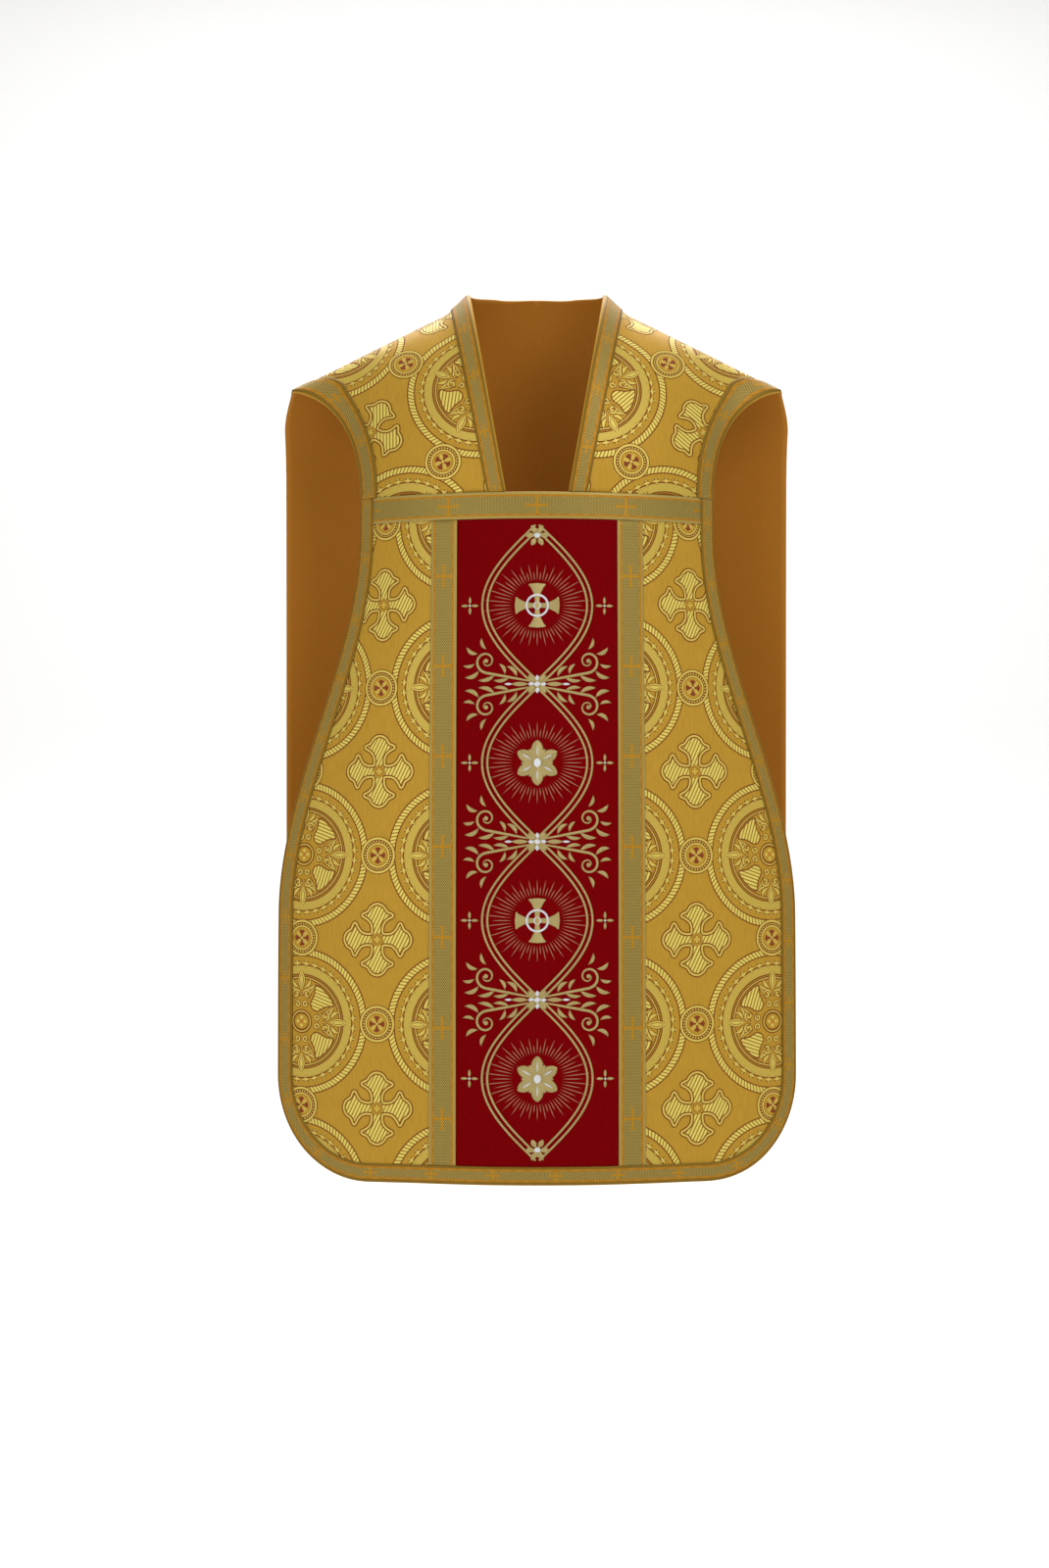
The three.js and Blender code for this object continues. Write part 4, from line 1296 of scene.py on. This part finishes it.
back_lattice = lattice(BACK_ORIGIN, *straight_axes(1), 6)
low_figures = laid_figures("low_back_figures", back_lattice, on_low_back, to_back)
high_figures = laid_figures("high_back_figures", back_lattice, on_high_back, to_back)

# %% [markdown]
# ## The orphrey
#
# Down the middle of the front runs the orphrey, a strip of deep red cloth with gold embroidery.
# The design here is a plain guilloche: two waves of double gold cord cross each other, and the
# four loops between them hold a cross and a six-petal rose in turn. Fine stitches ray out behind
# both, and sprays of leaves fill the corners. An embroiderer lays such cords over a padding, so they stand
# up round and catch the light.

# %% The red cloth
ORPHREY_THICKNESS = 0.8


def red_threads(u, v, noise):
    twill = (u + v).wave(1.4 * MM) * 0.5 + 0.5
    return [("5a0004", noise.below(0.45, 0.2) * 0.35)], twill


red_cloth = cloth_material("red_cloth", "720004", 0.85, 0.0, 0.0, red_threads, 0.08 * MM, 0.03)
orphrey_across = np.linspace(-ORPHREY_HALF + SIDE_GAP, ORPHREY_HALF - SIDE_GAP, 49)
rows_a, rows_b = np.broadcast_arrays(orphrey_across, braid_down[:, None])
upper = lay_on(front_sheet, rows_a, rows_b, LIFT + ORPHREY_THICKNESS, -1)
lower = lay_on(front_sheet, rows_a, rows_b, LIFT, -1)
faces = grid_faces(*rows_a.shape)[:, ::-1]
orphrey_cloth = shell_piece("orphrey_cloth", upper, lower, faces, [red_cloth], rows_a, rows_b)
finish_piece(orphrey_cloth, "red_cloth", "front_orphrey")

# %% Gold and silver thread
GOLD, SILVER, RAY = range(3)
STITCH = 1.9 * MM               # length of a stitch


def stitches_with_painted_shade(code, limit, softness, amount):
    """Slanting stitches, whose wave is also their bump, with the colour code painted in the grooves between
    them as painted shade.
    """
    def threads(u, v, noise):
        stitch = (u + v * 0.6).wave(STITCH) * 0.5 + 0.5
        return [(code, stitch.below(limit, softness) * amount)], stitch

    return threads


# 4e3c12 and 8d8f96 are painted shade in the grooves between the gold and the silver stitches.
gold_stitches_with_painted_shade, silver_stitches_with_painted_shade = stitches_with_painted_shade("4e3c12", 0.42, 0.3, 0.7), stitches_with_painted_shade("8d8f96", 0.35, 0.25, 0.6)
gold_thread = cloth_material("gold_thread", "bfac6e", 0.36, 0.45, 0.0, gold_stitches_with_painted_shade, 0.3 * MM)
silver_thread = cloth_material("silver_thread", "dcdde2", 0.35, 0.4, 0.0, silver_stitches_with_painted_shade, 0.3 * MM)
ray_thread = cloth_material("ray_thread", "9c6a4c", 0.5, 0.3)

# %% Cords, sprays and stars
STITCH_BASE = 0.1
CORD_RISE = 0.28


def cord_line(path, half, slot=GOLD, height=STITCH_BASE, closed=False):
    """A ribbon whose bands rise like a rounded cord."""
    bands = [(0, slot), (0.3 * float(np.max(half)), slot), (0.7 * float(np.max(half)), slot)]
    return ribbon(path, half, bands, height, closed=closed, rise=CORD_RISE)


def petal(start, end, half, slot=GOLD, bend=0.0, height=STITCH_BASE, tip=0.8):
    """A leaf that is padded in the middle."""
    bands = [(0, slot), (0.35 * half, slot), (0.75 * half, slot)]
    return leaf(start, end, half, bands, height, bend, 12, tip, CORD_RISE)


def tendril(start, lead, curl, half):
    """A stem from start, pulled towards lead, that runs on into a spiral."""
    s = np.linspace(0, 1, 14)[:-1, None]
    stem = (1 - s) ** 2 * np.array(start) + 2 * s * (1 - s) * np.array(lead) + s**2 * curl[0]
    path = even_path(np.concatenate([stem, curl]), 1.6)
    share = np.linspace(0, 1, len(path))
    return cord_line(path, half * (0.55 + 0.6 * np.sin(np.pi * share**0.8)))


star = merge([
    all_round(petal((1.2, 0), (11, 0), 1.7), 4),
    disc(1.3, [(0, SILVER)], 0.6, 6),
])
spray = merge([
    tendril((6, 3), (32, 8), spiral((60, 27), 14.5, 3.4, -100, 470, 0.75, 34), 1.4),
    petal((24, 8.5), (36, 21), 2.4, bend=3.0),
    petal((38, 11.5), (45, 24), 2.1, bend=2.4),
    petal((33, 7.5), (52, 4.5), 2.1, bend=-2.0),
    petal((50, 11), (70, 4.5), 2.4, bend=-2.6),
    petal((69, 16), (86, 8), 2.6, bend=-3.2),
    petal((74, 24), (88, 22), 2.0, bend=-2.2),
    petal((70, 36), (84, 44), 2.4, bend=-3.0),
    petal((60, 41), (66, 55), 2.1, bend=-2.4),
    placed(disc(2.6, [(0, GOLD), (1.0, GOLD)], 0.3, 8), [(60.5, 27.5)]),
])
half_knot = merge([mirrored(spray), petal((10, 0), (31, 0), 2.6), petal((29, 0), (39, 0), 1.5, SILVER)])
knot = merge([
    all_round(half_knot, 2),
    all_round(petal((3, 0), (15, 0), 3.4, height=0.5), 4, start=45),
    all_round(petal((3, 0), (11, 0), 2.4, SILVER, height=0.8), 4),
    disc(4.2, [(0, GOLD), (1.4, SILVER)], 1.1, 12),
])
print("spray:", len(spray.faces), "faces, knot:", len(knot.faces), "faces")

# %% The two things that the loops hold
LOOP_HALF_WIDTH, LOOP_HALF_LENGTH = 62, 93
turn = np.arange(60) * 2 * np.pi / 60
reach = 1 / np.hypot(np.cos(turn) / (LOOP_HALF_WIDTH - 13), np.sin(turn) / (LOOP_HALF_LENGTH - 27))
reach = reach * np.where(np.arange(60) % 2 == 0, 1.0, 0.82)
rays = merge([
    placed(leaf((29, 0), (far, 0), 0.55, [(0, RAY)], 0.12, count=4, tip=0.3), [(0, 0)], np.degrees(a))
    for far, a in zip(reach, turn)
])
PLAIN_ARM = np.array([(1, 2.6), (6, 2.8), (14, 4.0), (21, 7.4), (24.5, 10.4), (25.6, 9.6), (26.4, 0)])
rayed_cross = merge([
    rays,
    all_round(straight(PLAIN_ARM, [(0, GOLD), (0.8, GOLD), (2.0, GOLD)], 0.25, rise=0.3), 4),
    cord_line(12.5 * circle(turn), 1.3, SILVER, 0.7, closed=True),
    disc(4.6, [(0, SILVER), (1.6, GOLD)], 1.1, 12),
])
rose = merge([
    rays,
    all_round(petal((4, 0), (19, 0), 3.6, height=0.2, tip=0.6), 6, start=30),
    all_round(petal((4, 0), (27, 0), 7.2, height=0.35, tip=0.6), 6),
    all_round(petal((8, 0), (21, 0), 1.0, SILVER, height=1.15), 6),
    disc(5.6, [(0, GOLD), (1.5, SILVER)], 1.3, 14),
])

# %% The whole embroidery
LOOPS = 4
FIRST_CROSSING = 42
LOOP_LENGTH = 2 * LOOP_HALF_LENGTH
wave_run = np.linspace(0, LOOPS, 50 * LOOPS + 1)
cords = []
for side in (1, -1):
    swing = side * LOOP_HALF_WIDTH * np.sin(np.pi * wave_run)
    middle = np.stack([swing, FIRST_CROSSING + LOOP_LENGTH * wave_run], -1)
    direction = np.gradient(middle, axis=0)
    direction /= np.linalg.norm(direction, axis=1, keepdims=True)
    beside = np.stack([-direction[:, 1], direction[:, 0]], -1)
    over = 0.35 + 0.25 * side
    for apart in (-3.1, 3.1):
        cords.append(cord_line(middle + apart * beside, 1.3, GOLD, over))

crossings = [(0, FIRST_CROSSING + LOOP_LENGTH * k) for k in range(LOOPS + 1)]
loop_middles = [(0, down + LOOP_HALF_LENGTH) for _, down in crossings[:-1]]
stars_at = [(side * 80, down) for _, down in loop_middles for side in (1, -1)]
end_knot = merge([
    all_round(petal((3, 0), (14, 0), 3.2, height=0.6), 6),
    disc(4.0, [(0, GOLD), (1.3, SILVER)], 1.1, 12),
])
embroidery = merge([
    *cords,
    placed(knot, crossings[1:-1]),
    placed(end_knot, np.add([crossings[0], crossings[-1]], [(0, 10), (0, -10)])),
    placed(rayed_cross, loop_middles[::2], 90),
    placed(rose, loop_middles[1::2], 90),
    placed(star, stars_at),
])


def to_red_cloth(places):
    across, down, height = places.T
    return lay_on(front_sheet, across, down, height + LIFT + ORPHREY_THICKNESS, -1), None, True


GOLD_WORK = [gold_thread, silver_thread, ray_thread]
gold_work = piece_of_figure("gold_embroidery", embroidery, True, to_red_cloth, GOLD_WORK, "braid")

# %% [markdown]
# ## Handing the garment over
#
# The front, the orphrey and the back print how large they were cut. The last lines write the size
# of the frame and of the dressed garment, so that they can be compared.

# %% How large each cloth was cut
front_flat = (2 * float(front_half(front_down).max()) * MM, FRONT_LENGTH * MM)
back_flat = (2 * BACK_HALF * MM, (BACK_LENGTH + float(arch_run.sum())) * MM)
orphrey_flat = (2 * (ORPHREY_HALF - SIDE_GAP) * MM, (BRAID_FOOT - BRAID_TOP) * MM)
for cloth_name, flat in (("front", front_flat), ("orphrey", orphrey_flat), ("back", back_flat)):
    print(cloth_name, np.round(flat, 3))

# %% Sizes
size = {"cad": np.array(cad_box).tolist(), "dressed": np.array(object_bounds()).tolist()}
print(size)
